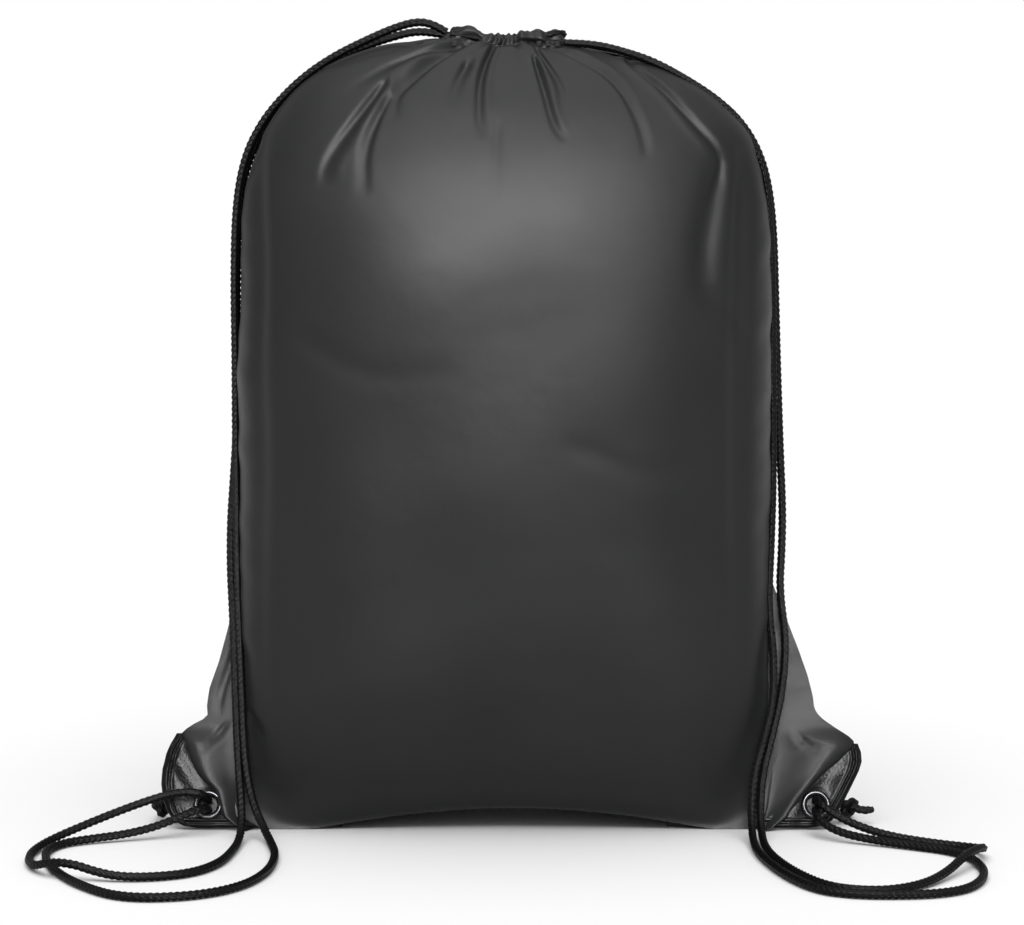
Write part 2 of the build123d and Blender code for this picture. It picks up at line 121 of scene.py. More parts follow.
LEFT_END_ROUTES = [
    [(-0.148, -0.0436, 0.0139), (-0.148, -0.0355, 0.0114), (-0.1535, -0.0306, 0.0102),
     (-0.167, -0.0306, 0.0095)],
    [(-0.148, -0.0447, 0.0095), (-0.148, -0.0368, 0.0071), (-0.1535, -0.0316, 0.0058),
     (-0.167, -0.0316, 0.0053)],
]
RIGHT_END_ROUTES = [
    [(0.148, -0.0436, 0.0139), (0.148, -0.0355, 0.0114), (0.1525, -0.0312, 0.0102), (0.161, -0.0308, 0.0095)],
    [(0.148, -0.0447, 0.0095), (0.148, -0.0368, 0.0071), (0.1525, -0.0322, 0.0058), (0.161, -0.0316, 0.0053)],
]
LEFT_TAIL_ROUTES = [
    [(-0.173, -0.029, 0.0094), (-0.1755, -0.0225, 0.008), (-0.175, -0.0155, 0.0058)],
    [(-0.1705, -0.029, 0.0056), (-0.1696, -0.022, 0.005), (-0.1665, -0.016, 0.0046)],
]
RIGHT_TAIL_ROUTES = [
    [(0.167, -0.033, 0.0084), (0.172, -0.0362, 0.0062), (0.1774, -0.0354, 0.0076)],
    [(0.1665, -0.029, 0.0056), (0.169, -0.0225, 0.005), (0.1685, -0.016, 0.0046)],
]
# Inside the casings the cord sags with the gathers between its two ends.
LEFT_CASING_ROUTE = [
    (-0.030, -0.0095, 0.3856), (-0.020, -0.0095, 0.3842), (-0.008, -0.0095, 0.3816), (0.006, -0.0095, 0.3818),
    (0.016, -0.0092, 0.3848), (0.0215, -0.0078, 0.3858), (0.0250, -0.0036, 0.3860), (0.0250, 0.0036, 0.3860),
    (0.0215, 0.0078, 0.3858), (0.006, 0.0094, 0.3848), (-0.014, 0.0095, 0.3845), (-0.030, 0.0095, 0.3856),
]
RIGHT_CASING_ROUTE = [
    (0.025, -0.0095, 0.3812), (0.005, -0.0094, 0.3800), (-0.015, -0.0095, 0.3801), (-0.0265, -0.0078, 0.3806),
    (-0.0305, -0.0036, 0.3808), (-0.0305, 0.0036, 0.3808), (-0.0265, 0.0078, 0.3806),
    (-0.010, 0.0094, 0.3801),
    (0.010, 0.0095, 0.3801), (0.025, 0.0095, 0.3812),
]

# ---- stage: floor, light and camera, metres, watts and degrees -------------------------
FLOOR_SHADE = 0.88
WORLD_STRENGTH = 0.45
OVERHEAD_STRENGTH = 2.35
OVERHEAD_SPREAD = 70
OVERHEAD_PLACE = (0.0, -0.4, 2.0)
LAMP_HEIGHT = 2.2            # of each lamp's width
KEY_SPREAD = 36
FILL_SPREAD = 120
FILL_WIDTH = 0.5
KEY_POWER = 10.5
LEFT_FILL_POWER = 1.4
RIGHT_FILL_POWER = 1.2
CAMERA_PLACE = (0.0, -1.3, 0.3)
CAMERA_TILT_DOWN = 5.49
CAMERA_LENS = 92.18

# ---- stitches, millimetres ------------------------------------------------------------
BAR_TACK_ROWS = 5
BAR_TACK_PITCH = 0.5
CORNER_STITCH_INSET = 2.8    # from the rim of the corner patch
CORNER_STITCH_LIFT = 2.15    # of the thread off the plane of the wing

# ---- shape of the bag, millimetres ----------------------------------------------------
SHOULDER_CORNERS = 2.5
BASE_CORNERS = 4.5
SQUARE_HEIGHT = 150.0
SEAM_Y = -4.0
WING_LEAN = math.radians(16.7)
WING_FOOT_Y = -46.0
EYELET_X = 148.0
EYELET_REACH = 11.7
CASING_ROWS = 34           # grid rows that belong to the hem round the mouth

# Height at the left, height at the right, left edge, right edge and half depth, from the
# floor over the shoulders, up the outside of the casing and down into the mouth.
PROFILE = [
    (0, 0, -126, 119, 42), (5, 5, -130.5, 122.5, 48), (20, 20, -133, 125.5, 54.5),
    (60, 60, -134.6, 126.8, 66),
    (120, 120, -135, 127.4, 75), (180, 180, -135, 128, 78), (240, 240, -134.4, 128.2, 77.2),
    (280, 280, -133.6, 127.4, 73.5), (305, 305, -132, 125, 68.2), (322, 322, -128.2, 121.8, 62),
    (338, 338, -121.6, 116, 54), (350.5, 350, -113.6, 105, 46.5), (360.8, 359.2, -104.6, 93.4, 38.5),
    (369.5, 366.2, -92.4, 79.6, 31), (376, 371.6, -78, 66, 24.5), (380.4, 375.6, -62, 52.4, 19.4),
    (382.6, 378.4, -46, 38, 15.8), (384.2, 381, -34.5, 28.6, 13.9), (386.4, 384, -31, 26, 13.4),
    (388.4, 387, -29.6, 24.8, 12), (388.8, 388, -28.4, 23.4, 10), (387.2, 386.8, -27, 21.6, 8.2),
    (383, 383, -25.6, 20.2, 7), (378, 378, -25, 19.6, 6.6),
]
CASING_START = 17          # profile row where the hem stitch line runs

# Outer edge of the cloth on each empty lower corner, (across, height), from the floor up.
LEFT_LIP = [
    (0.0, -131), (2.1, -134), (4.2, -137.8), (7.2, -142.4), (13, -144), (19.4, -146.4), (23.6, -152.6),
    (29.4, -157.2), (37, -160.6), (44.2, -163.4), (46.5, -161), (49.5, -156), (52.6, -149.4), (58, -150),
    (66, -149), (78, -144.8), (92, -141), (106, -137.6), (118, -133.6), (132, -132.6),
]
RIGHT_LIP = [
    (0.0, 124), (1.6, 128), (4, 131.5), (7.4, 137), (13, 144.6), (19.5, 149.6), (26.3, 154.4), (34.2, 162.6),
    (39.4, 168.2), (43, 165), (48, 157.6), (52.5, 151), (56.5, 148.4), (62, 148), (72, 145.6), (84, 141.4),
    (97, 136.4), (112, 130.6), (124, 126.4), (134, 125.4),
]
# Rim of each coated corner, (height, across).
LEFT_RIM = [(0.7, -152), (1.4, -158.5), (4, -163.6), (8, -166.8), (14, -169.2), (21, -170.2), (28, -169.8),
            (35, -168.2), (40, -166), (44.8, -163.2)]
RIGHT_RIM = [(0.7, 143), (1.6, 150.5), (4, 154.8), (9, 158.2), (14.5, 161.6), (21, 165.2), (27, 168.4),
             (31.5, 170), (36, 169.8), (39.9, 168.2)]

# Folds, as (points across and up, depth, width at the start, width at the end, sharp side).
# Positive depth is a valley; the sharp side throws up a ridge on that side.
FOLDS = [
    ([(-9, 381), (-13, 371), (-15.5, 360), (-16, 347), (-13.5, 334)], 2.6, 2.0, 4.5, 1),
    ([(-7, 340), (-7.5, 318), (-8.5, 292)], 0.45, 2.6, 5.0, 0),
    ([(12, 378), (19, 367), (23.5, 358), (24.5, 346)], 1.8, 1.8, 4.0, -1),
    ([(10.5, 374), (14, 361), (19.5, 341), (25, 332)], 2.2, 2.0, 3.6, 1),
    ([(3, 384), (22, 378), (36, 371), (46, 364), (54, 354), (60.5, 339), (63.5, 324)], 2.4, 1.8, 5.0, 1),
    ([(57, 373), (72, 360), (86.5, 343.5), (99.5, 328), (101, 317), (96, 302)], 2.8, 2.6, 6.0, -1),
    ([(101, 322), (96, 304), (92, 286), (91, 268), (97, 256), (105, 250), (110, 240)], 3.3, 9.0, 12.0, 0),
    ([(-17, 384), (-35, 374), (-48, 362.5), (-55, 354), (-56, 342)], 3.6, 3.4, 8.0, -1),
    ([(-24, 383), (-56, 371.5), (-79, 358)], 2.2, 2.0, 5.0, 1),
    ([(-46, 381), (-74, 374), (-89.5, 368)], 1.6, 1.8, 4.5, -1),
    ([(-62, 360), (-78.5, 338), (-88, 322), (-89, 311)], 2.2, 3.5, 7.0, 1),
    ([(-59, 354), (-66.5, 336), (-69, 321), (-68.5, 307)], 1.6, 3.0, 6.0, -1),
    ([(-21.5, 371), (-26, 362), (-30, 350)], 1.8, 3.6, 5.0, 1),
    ([(25, 383), (52, 375), (70, 366), (80, 357)], 1.4, 1.8, 4.0, 1),
    ([(-123, 330), (-121.5, 260), (-121, 180), (-122, 90), (-120, 30)], 2.0, 7.0, 8.0, 0),
    ([(112, 325), (109, 270), (108.5, 200), (109.5, 120), (111, 40)], 2.6, 8.0, 9.0, 0),
    ([(-134, 60), (-126, 52), (-120, 44)], 1.8, 3.0, 5.0, 1),
    ([(-100, 240), (-60, 222), (-20, 226)], 0.5, 9.0, 12.0, 0),
    ([(30, 190), (70, 176), (95, 186)], 0.5, 9.0, 12.0, 0),
]
# Folds on the right wing, where the empty corner hangs.
WING_FOLDS = [
    ([(137, 8), (146, 18), (156, 26), (163, 29)], 2.6, 3.0, 4.0, 1),
    ([(140, 44), (150, 38), (160, 36)], 1.2, 2.4, 3.0, -1),
    ([(-141, 48), (-150, 40), (-158, 38)], 1.0, 2.4, 3.4, 1),
    ([(-136, 84), (-142, 66), (-144, 52)], 0.9, 3.0, 4.0, -1),
]
# Extra height of the casing along the mouth, (across, height): two lumps and a dip.
MOUTH_SWELL = [(-32, -0.6), (-27, 0.9), (-22, 1.0), (-18, -0.2), (-14, -3.0), (-6, -4.0), (0, -3.9),
    (4, -2.4),
               (9, -1.2), (15, -0.9), (20, -1.2), (27, -2.0)]


def table(pairs, at):
    """Smooth read of a given table of (position, value) pairs."""
    place, value = np.array(pairs, float).T
    fine = np.linspace(place[0], place[-1], 800)
    rough = np.interp(fine, place, value)
    kernel = np.hanning(21)
    padded = np.pad(rough, 10, mode="edge")
    smooth = np.convolve(padded, kernel / kernel.sum(), mode="valid")
    return np.interp(at, fine, smooth)


def smooth_step(value):
    value = np.clip(value, 0.0, 1.0)
    return value * value * (3 - 2 * value)


def ripple(x, y, seed, waves, size):
    """Seeded sum of slow waves, about -1 to 1, for cloth that is never quite even."""
    rng = np.random.default_rng(seed)
    total = np.zeros(np.broadcast(x, y).shape)
    for _ in range(waves):
        turn = rng.uniform(0, math.pi)
        length = size * rng.uniform(0.6, 1.6)
        phase = rng.uniform(0, 2 * math.pi)
        total += np.sin(2 * math.pi * (x * math.cos(turn) + y * math.sin(turn)) / length + phase)
    return total / waves ** 0.5


def fold_depth(x, z, folds):
    """Depth of all folds at each point: a valley along each line with a ridge on its sharp side."""
    total = np.zeros(x.shape)
    for line, depth, start_width, end_width, sharp in folds:
        points = np.array(line, float)
        fine = np.linspace(0, len(points) - 1, 12 * len(points))
        fine_x = cubic_through(np.arange(len(points)), points[:, 0], fine)
        fine_z = cubic_through(np.arange(len(points)), points[:, 1], fine)
        best = np.full(x.shape, 1e9)
        side = np.zeros(x.shape)
        along = np.zeros(x.shape)
        for step in range(len(fine) - 1):
            ax, az = fine_x[step], fine_z[step]
            dx, dz = fine_x[step + 1] - ax, fine_z[step + 1] - az
            length = math.hypot(dx, dz)
            part = np.clip(((x - ax) * dx + (z - az) * dz) / length ** 2, 0, 1)
            away_x, away_z = x - ax - part * dx, z - az - part * dz
            distance = np.hypot(away_x, away_z)
            nearer = distance < best
            best = np.where(nearer, distance, best)
            side = np.where(nearer, np.sign(dx * away_z - dz * away_x), side)
            along = np.where(nearer, (step + part) / (len(fine) - 1), along)
        width = 0.66 * (start_width + 0.6 * (end_width - start_width) * along)
        fade = (1 - along) ** 0.8 * smooth_step(0.55 + along / 0.2)
        lean = 1.0 + 0.35 * sharp * side
        valley = np.exp(-(best / (width * lean)) ** 2)
        ridge = np.exp(-((best - 1.9 * width) / (1.1 * width)) ** 2) * (side * sharp > 0) if sharp else 0
        total += 1.25 * depth * fade * (valley - 0.32 * ridge)
    return total


def profile_rows(count):
    """The bag's profile read at `count` even steps along its length, base first."""
    stations = np.array(PROFILE, float)
    steps = np.hypot(np.diff(stations[:, 0]), np.diff(stations[:, 4]) + 0.35 * np.diff(stations[:, 3]))
    length = np.concatenate([[0], np.cumsum(np.maximum(steps, 0.5))])
    split = length[CASING_START]
    body = np.linspace(0, 1, count - CASING_ROWS + 1)
    body = split * (body * 0.72 + 0.28 * (1 - (1 - body) ** 2.2))
    hem = np.linspace(split, length[-1], CASING_ROWS)[1:]
    places = np.concatenate([body, hem])
    rows = []
    for column in range(5):
        rows.append(cubic_through(length, stations[:, column], places))
    return np.array(rows).T


def cubic_through(place, value, at):
    """Smooth cubic line through the stations, without overshoot, read at the wanted places."""
    step = np.diff(place)
    slope = np.diff(value) / step
    tangent = np.zeros(len(place))
    tangent[1:-1] = np.where(slope[1:] * slope[:-1] > 0, (slope[1:] * step[:-1] + slope[:-1] * step[1:])
                             / (step[1:] + step[:-1]), 0)
    tangent[0], tangent[-1] = slope[0], slope[-1]
    spot = np.clip(np.searchsorted(place, at, side="right") - 1, 0, len(step) - 1)
    part = (at - place[spot]) / step[spot]
    rise = part * part * (3 - 2 * part)
    bend = step[spot] * (tangent[spot] * part * (1 - part) ** 2 - tangent[spot + 1] * part ** 2 * (1 - part))
    return value[spot] * (1 - rise) + value[spot + 1] * rise + bend


def outline_power(height):
    share = smooth_step(1 - height / SQUARE_HEIGHT)
    return SHOULDER_CORNERS + (BASE_CORNERS - SHOULDER_CORNERS) * share


def wing_y(height):
    """Depth of the plane that the empty lower corners and side seams lie on."""
    lean = WING_FOOT_Y + height * math.tan(WING_LEAN)
    soft = 8.0
    mix = np.clip(0.5 + 0.5 * (SEAM_Y - lean) / soft, 0, 1)
    return SEAM_Y * (1 - mix) + lean * mix - soft * mix * (1 - mix)


def arch(x):
    """How far the bottom seam is lifted off the floor."""
    return 10.6 * np.clip(1 - (x / 99) ** 2, 0, 1) ** 1.15


def soft_min(a, b, radius):
    mix = np.clip(0.5 + 0.5 * (b - a) / radius, 0, 1)
    return b * (1 - mix) + a * mix - radius * mix * (1 - mix)


def push_out(points, amount):
    """Move a grid of points along its own normals; positive goes out of the bag."""
    across = np.gradient(points, axis=1)
    up = np.gradient(points, axis=0)
    normal = np.cross(across, up)
    normal /= np.linalg.norm(normal, axis=2, keepdims=True) + 1e-9
    return points + normal * amount[..., None]


def gathers(across, reach, seed):
    """Bunched folds round the mouth: deepest on the hem, fading down the cloth."""
    near = ripple(across * 1.0, across * 0, seed, 5, 7.5)
    middle = ripple(across, across * 0.0, seed + 1, 4, 17.0)
    fine_part = np.exp(-reach / 7.0)
    wide_part = np.exp(-reach / 22.0)
    return 0.62 * near * fine_part + 0.75 * middle * wide_part


def front_points(rows, columns):
    """Grid of the front cloth, from one side edge to the other, base first."""
    profile = profile_rows(rows)
    wing_columns = columns // 8
    left_z, right_z, left, right, depth = (profile[:, index][:, None] for index in range(5))
    span = np.linspace(-1, 1, columns - 2 * wing_columns)[None, :]
    share = np.sin(math.pi / 2 * span) * 0.55 + span * 0.45
    middle, half = (left + right) / 2, (right - left) / 2
    x_body = middle + half * share
    z_body = left_z + (right_z - left_z) * (share + 1) / 2
    power = outline_power(z_body)
    y_body = -depth * np.clip(1 - np.abs(share) ** power, 0, 1) ** (1 / power)
    in_body = np.arange(rows)[:, None] < rows - CASING_ROWS
    seam_y = wing_y(z_body)
    hem_mix = smooth_step((z_body - 330) / 30)
    y_body = np.where(in_body, soft_min(y_body, seam_y, 7.0 * (1 - 0.8 * hem_mix)), np.minimum(y_body, -0.6))
    wings = []
    for lip, edge_x, side in ((LEFT_LIP, x_body[:, :1], -1), (RIGHT_LIP, x_body[:, -1:], 1)):
        z_edge = z_body[:, :1] if side < 0 else z_body[:, -1:]
        outer = table(lip, z_edge)
        flat = smooth_step((z_edge - 118) / 14)
        tucked = edge_x - side * 2.5
        outer = np.where(z_edge < lip[-1][0], outer * (1 - flat) + tucked * flat, tucked)
        part = np.linspace(1, 0, wing_columns + 1)[None, :-1]
        x = edge_x + (outer - edge_x) * part
        z = np.repeat(z_edge, wing_columns, axis=1)
        y = wing_y(z) + 2.2 * flat * part
        low = smooth_step((48.5 - z) / 8)
        curl = np.clip((1 - part) / 0.3, 0, 1)
        puff = np.sin(math.pi / 2 * curl) ** 0.7 * (1 - 0.75 * smooth_step((1 - part - 0.3) / 0.7))
        y = y - low * (6.2 * puff - 1.0)
        y = y - (1 - low) * (1 - flat) * 0.5
        wings.append((x, y, z))
    (lx, ly, lz), (rx, ry, rz) = wings
    flip = slice(None, None, -1)
    x = np.concatenate([lx, x_body, rx[:, flip]], axis=1)
    y = np.concatenate([ly, y_body, ry[:, flip]], axis=1)
    z = np.concatenate([lz, z_body, rz[:, flip]], axis=1)
    z = z + arch(x) * np.clip(1 - z / 75, 0, 1) ** 2
    points = np.stack([x, y, z], axis=2)
    return points


def detail_front(points):
    """Folds, gathers and slow unevenness pressed into the front grid."""
    x, z = points[..., 0], points[..., 2]
    rows = points.shape[0]
    hem_row = rows - CASING_ROWS
    row = np.arange(rows)[:, None]
    amount = -fold_depth(x, z, FOLDS) * (row < hem_row + 6)
    amount = amount - fold_depth(x, z, WING_FOLDS)
    reach = np.clip(np.linalg.norm(points - points[hem_row][None], axis=2), 0, 200)
    reach = np.where(row > hem_row, 0, reach)
    angle = np.arctan2(points[hem_row, :, 0] + 3, -points[hem_row, :, 1] - 2) * 28
    amount = amount + gathers(np.repeat(angle[None, :], rows, axis=0), reach, 5)
    inside = smooth_step((row - hem_row - 18) / 6)
    amount = amount * (1 - 0.6 * inside)
    amount = amount + 0.7 * ripple(x, z, 11, 6, 95) * smooth_step((330 - z) / 60) * smooth_step(z / 40)
    edge = smooth_step((np.abs(x + 3.5) - 118) / 10)
    amount = amount + 0.35 * ripple(x * 0.3, z, 12, 5, 22) * edge * smooth_step((z - 20) / 30)
    points = push_out(points, amount)
    swell = table(MOUTH_SWELL, x) * smooth_step((row - hem_row + 10) / 18)
    points[..., 2] = points[..., 2] + swell
    points[..., 2] = np.maximum(points[..., 2], 0.25)
    return points


def back_points(rows, columns):
    """Grid of the back cloth from the left seam round the back to the right seam."""
    profile = profile_rows(rows)
    left_z, right_z, left, right, depth = (profile[:, index][:, None] for index in range(5))
    height = (left_z + right_z) / 2
    seam = np.where(np.arange(rows)[:, None] < rows - CASING_ROWS, np.minimum(wing_y(height), -0.1), -0.1)
    power = outline_power(height)
    start = np.arcsin(np.clip(np.abs(seam) / depth, 0, 0.97) ** (power / 2))
    sweep = np.linspace(0, 1, columns)[None, :]
    angle = sweep * (math.pi + 2 * start) - start
    across, along = np.cos(angle), np.sin(angle)
    share = np.copysign(np.abs(across) ** (2 / power), across)
    x = (left + right) / 2 + (right - left) / 2 * share * 0.998
    y = depth * np.copysign(np.abs(along) ** (2 / power), along)
    z = left_z + (right_z - left_z) * (share + 1) / 2
    base_rows = 14
    wing_columns = 22
    wings = []
    for lip, edge, side in ((RIGHT_LIP, 0, 1), (LEFT_LIP, -1, -1)):
        foot = np.stack([x[:, edge], y[:, edge], z[:, edge]], axis=1)[:, None]
        level = foot[..., 2]
        flat = smooth_step((level - 118) / 14)
        outer = (table(lip, level) - side * 1.2) * (1 - flat) + (foot[..., 0] - side * 2.5) * flat
        part = np.linspace(1, 0, wing_columns + 1)[None, :-1]
        wing_x = foot[..., 0] + (outer - foot[..., 0]) * part
        plane = np.minimum(wing_y(level) + 1.2, foot[..., 1] + 60)
        behind = plane * (1 - flat) + (foot[..., 1] + 1.5) * flat
        reach = smooth_step(part / 0.55)
        wing_y_row = foot[..., 1] * (1 - reach) + behind * reach
        wings.append(np.stack([wing_x, wing_y_row, np.repeat(level, wing_columns, axis=1)], axis=2))
    z = z + arch(x) * np.clip(1 - z / 75, 0, 1) ** 2
    ring = np.stack([x, y, z], axis=2)
    ring = np.concatenate([wings[0], ring, wings[1][:, ::-1]], axis=1)
    count = ring.shape[1]
    lowest = ring[0, :, 0]
    front_edge = np.stack([lowest, np.full(count, WING_FOOT_Y + 0.6), arch(lowest) + 0.3], axis=1)
    base = []
    for step in range(base_rows):
        part = step / base_rows
        row = front_edge * (1 - part) + ring[0] * part
        row[:, 2] = np.maximum(row[:, 2], 0.25)
        base.append(row)
    return np.concatenate([np.array(base), ring], axis=0), base_rows


def detail_back(points, base_rows):
    x, z = points[..., 0], points[..., 2]
    rows = points.shape[0]
    hem_row = rows - CASING_ROWS
    row = np.arange(rows)[:, None]
    below_hem = np.linalg.norm(points - points[hem_row][None], axis=2)
    reach = np.where(row > hem_row, 0, np.clip(below_hem, 0, 300))
    angle = np.arctan2(points[hem_row, :, 0] + 3, points[hem_row, :, 1] + 2) * 28
    spread = np.repeat(angle[None, :], rows, axis=0)
    amount = gathers(spread, reach, 31)
    rays = ripple(spread, spread * 0, 41, 5, 21) * np.exp(-(reach / 55) ** 1.3) * (row < hem_row)
    amount = amount + 1.5 * rays * smooth_step(reach / 10)
    amount = amount + 0.9 * ripple(x, z, 51, 6, 90) * smooth_step((330 - z) / 60) * smooth_step(z / 40)
    valley = fold_depth(x, z, [
        ([(-118, 320), (-114, 240), (-116, 150), (-112, 60)], 2.4, 8.0, 9.0, 0),
        ([(112, 318), (106, 230), (109, 140), (104, 50)], 2.4, 8.0, 9.0, 0),
        ([(-40, 374), (-70, 350), (-84, 322), (-86, 290)], 2.4, 3.0, 7.0, 1),
        ([(-12, 378), (-22, 352), (-24, 322), (-20, 296)], 2.0, 3.0, 6.0, -1),
        ([(14, 378), (30, 350), (34, 318)], 2.2, 3.0, 6.0, 1),
        ([(34, 374), (62, 352), (80, 320), (86, 280)], 2.6, 3.0, 7.0, -1),
        ([(-80, 60), (-40, 46), (10, 52)], 1.2, 6.0, 9.0, 1),
    ]) * (points[..., 1] > 0) * (row < hem_row)
    keep = smooth_step((row - base_rows + 2) / 8)
    edge = np.linspace(0, 1, points.shape[1])[None, :]
    keep = keep * smooth_step((edge - 0.05) / 0.05) * smooth_step((0.95 - edge) / 0.05)
    out = push_out(points, (amount - valley) * keep)
    swell = 0.4 * table(MOUTH_SWELL, x) * smooth_step((row - hem_row + 10) / 18)
    out[..., 2] = out[..., 2] + swell
    out[..., 2] = np.maximum(out[..., 2], 0.25)
    return out


# ---- meshes ---------------------------------------------------------------------------
def piece_from(name, verts, faces, uvs=None, smooth=True):
    """A mesh object from points in millimetres; uvs are one pair per point, in metres."""
    mesh = bpy.data.meshes.new(name)
    mesh.from_pydata([tuple(point) for point in np.asarray(verts, float) * MM], [], faces)
    if uvs is not None:
        layer = mesh.uv_layers.new(name="rest_cloth")
        corner_points = np.empty(len(mesh.loops), dtype=np.int32)
        mesh.loops.foreach_get("vertex_index", corner_points)
        layer.data.foreach_set("uv", np.asarray(uvs, np.float32)[corner_points].ravel())
    mesh.polygons.foreach_set("use_smooth", [smooth] * len(mesh.polygons))
    mesh.update()
    piece = bpy.data.objects.new(name, mesh)
    bpy.context.scene.collection.objects.link(piece)
    return piece


def grid_faces(rows, columns, around=False, flip=False, start=0):
    """Four-sided faces of a grid of points; around joins the last column to the first."""
    faces = []
    for row in range(rows - 1):
        for column in range(columns if around else columns - 1):
            after = (column + 1) % columns
            face = (row * columns + column, row * columns + after,
                    (row + 1) * columns + after, (row + 1) * columns + column)
            face = tuple(start + corner for corner in face)
            faces.append(face[::-1] if flip else face)
    return faces


def cloth_uvs(points):
    """Unrolled position of each grid point, in metres, so the weave keeps its scale."""
    across = np.linalg.norm(np.diff(points, axis=1), axis=2)
    across = np.concatenate([np.zeros((points.shape[0], 1)), np.cumsum(across, axis=1)], axis=1)
    across = across - across[:, points.shape[1] // 2][:, None]
    up = np.linalg.norm(np.diff(points, axis=0), axis=2)
    up = np.concatenate([np.zeros((1, points.shape[1])), np.cumsum(up, axis=0)], axis=0)
    level = up[:, points.shape[1] // 2][:, None] * np.ones((1, points.shape[1]))
    return np.stack([across, level], axis=2).reshape(-1, 2) * MM


def cloth_piece(name, points):
    rows, columns = points.shape[:2]
    return piece_from(name, points.reshape(-1, 3), grid_faces(rows, columns), cloth_uvs(points))


def finish_piece(piece, body, slot_name, material, *nodes):
    """Give a piece its body and material, and hide the fixed parts it stands for; the slot name is not used.
    """
    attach(piece, body)
    if nodes:
        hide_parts(*nodes)
    piece.data.materials.clear()
    piece.data.materials.append(material)
    return piece


def spline_points(route, spacing):
    """Even points along the smooth line that a route's points control, millimetres."""
    curve = bpy.data.curves.new("route", "CURVE")
    curve.dimensions = "3D"
    curve.resolution_u = 24
    spline = curve.splines.new("NURBS")
    spline.points.add(len(route) - 1)
    for place, point in zip(spline.points, route):
        place.co = (*point, 1.0)
    spline.order_u = 3
    spline.use_endpoint_u = True
    holder = bpy.data.objects.new("route", curve)
    line = bpy.data.meshes.new_from_object(holder)
    points = np.array([vertex.co[:] for vertex in line.vertices]) / MM
    bpy.data.objects.remove(holder)
    bpy.data.meshes.remove(line)
    bpy.data.curves.remove(curve)
    steps = np.linalg.norm(np.diff(points, axis=0), axis=1)
    keep = np.concatenate([[True], steps > 1e-6])
    points = points[keep]
    length = np.concatenate([[0], np.cumsum(np.linalg.norm(np.diff(points, axis=0), axis=1))])
    count = max(6, int(length[-1] / spacing))
    at = np.linspace(0, length[-1], count)
    return np.stack([np.interp(at, length, points[:, axis]) for axis in range(3)], axis=1), length[-1]


def frames_along(points, closed=False):
    """Directions along a line and two across it that don't twist from point to point."""
    if closed:
        along = np.roll(points, -1, axis=0) - np.roll(points, 1, axis=0)
    else:
        along = np.gradient(points, axis=0)
        padded = np.pad(along, ((3, 3), (0, 0)), mode="edge")
        along = sum(padded[shift:shift + len(along)] for shift in range(7))
    along /= np.linalg.norm(along, axis=1, keepdims=True)
    side = np.cross(along[0], (0.13, 0.21, 0.97))
    side /= np.linalg.norm(side)
    sides = [side]
    for direction in along[1:]:
        side = sides[-1] - direction * np.dot(direction, sides[-1])
        sides.append(side / np.linalg.norm(side))
    sides = np.array(sides)
    return along, sides, np.cross(along, sides)


def braided_tube(points, width, taper_start=0, taper_end=0, sealed=True, closed=False):
    """Verts, faces and UVs of a round braid: slanted floats in columns, each leaning the other way."""
    _, side, over = frames_along(points, closed)
    steps = np.linalg.norm(np.diff(points, axis=0), axis=1)
    length = np.concatenate([[0], np.cumsum(steps)])[:, None]
    per_column = BRAID_VERTS
    ring = BRAID_COLUMNS * per_column
    index = np.arange(ring)[None, :]
    column = index // per_column
    part = (index % per_column) / per_column
    slant = np.where(column % 2 == 0, 1.0, -1.0)
    phase = length / BRAID_PITCH + slant * (part - 0.5) * 0.75 + 0.5 * (column % 2)
    float_height = 0.15 + 0.85 * np.abs(np.cos(math.pi * phase)) ** 0.7
    groove = np.sin(math.pi * np.clip(part + 0.5 / per_column, 0, 1)) ** 0.6
    radius = width / 2 * (0.68 + 0.37 * float_height * groove)
    if taper_start:
        radius = radius * (0.72 + 0.28 * smooth_step(length / taper_start))
    if taper_end:
        radius = radius * (0.72 + 0.28 * smooth_step((length[-1] - length) / taper_end))
    angle = 2 * math.pi * index / ring
    spot = side[:, None] * np.cos(angle)[..., None] + over[:, None] * np.sin(angle)[..., None]
    verts = points[:, None] + spot * radius[..., None]
    count = len(points)
    uvs = np.stack([np.repeat(angle / (2 * math.pi) * math.pi * width, count, axis=0),
                    np.repeat(length, ring, axis=1)], axis=2).reshape(-1, 2) * MM
    verts = verts.reshape(-1, 3)
    faces = grid_faces(count, ring, around=True)
    if closed:
        last = (count - 1) * ring
        faces += [(last + i, last + (i + 1) % ring, (i + 1) % ring, i) for i in range(ring)]
    elif sealed:
        tips = np.array([points[0] - (points[1] - points[0]) * 0.8,
                         points[-1] + (points[-1] - points[-2]) * 0.8])
        first, second = len(verts), len(verts) + 1
        last = (count - 1) * ring
        faces += [((i + 1) % ring, i, first) for i in range(ring)]
        faces += [(last + i, last + (i + 1) % ring, second) for i in range(ring)]
        verts = np.concatenate([verts, tips])
        uvs = np.concatenate([uvs, uvs[:1], uvs[-1:]])
    return verts, faces, uvs


def joined(parts):
    """One set of verts, faces and UVs from several."""
    verts, faces, uvs, start = [], [], [], 0
    for part_verts, part_faces, part_uvs in parts:
        verts.append(part_verts)
        uvs.append(part_uvs)
        faces += [tuple(start + corner for corner in face) for face in part_faces]
        start += len(part_verts)
    return np.concatenate(verts), faces, np.concatenate(uvs)


BRAID_COLUMNS = 6
BRAID_VERTS = 4
BRAID_PITCH = 2.9
RING_STEP = 0.45


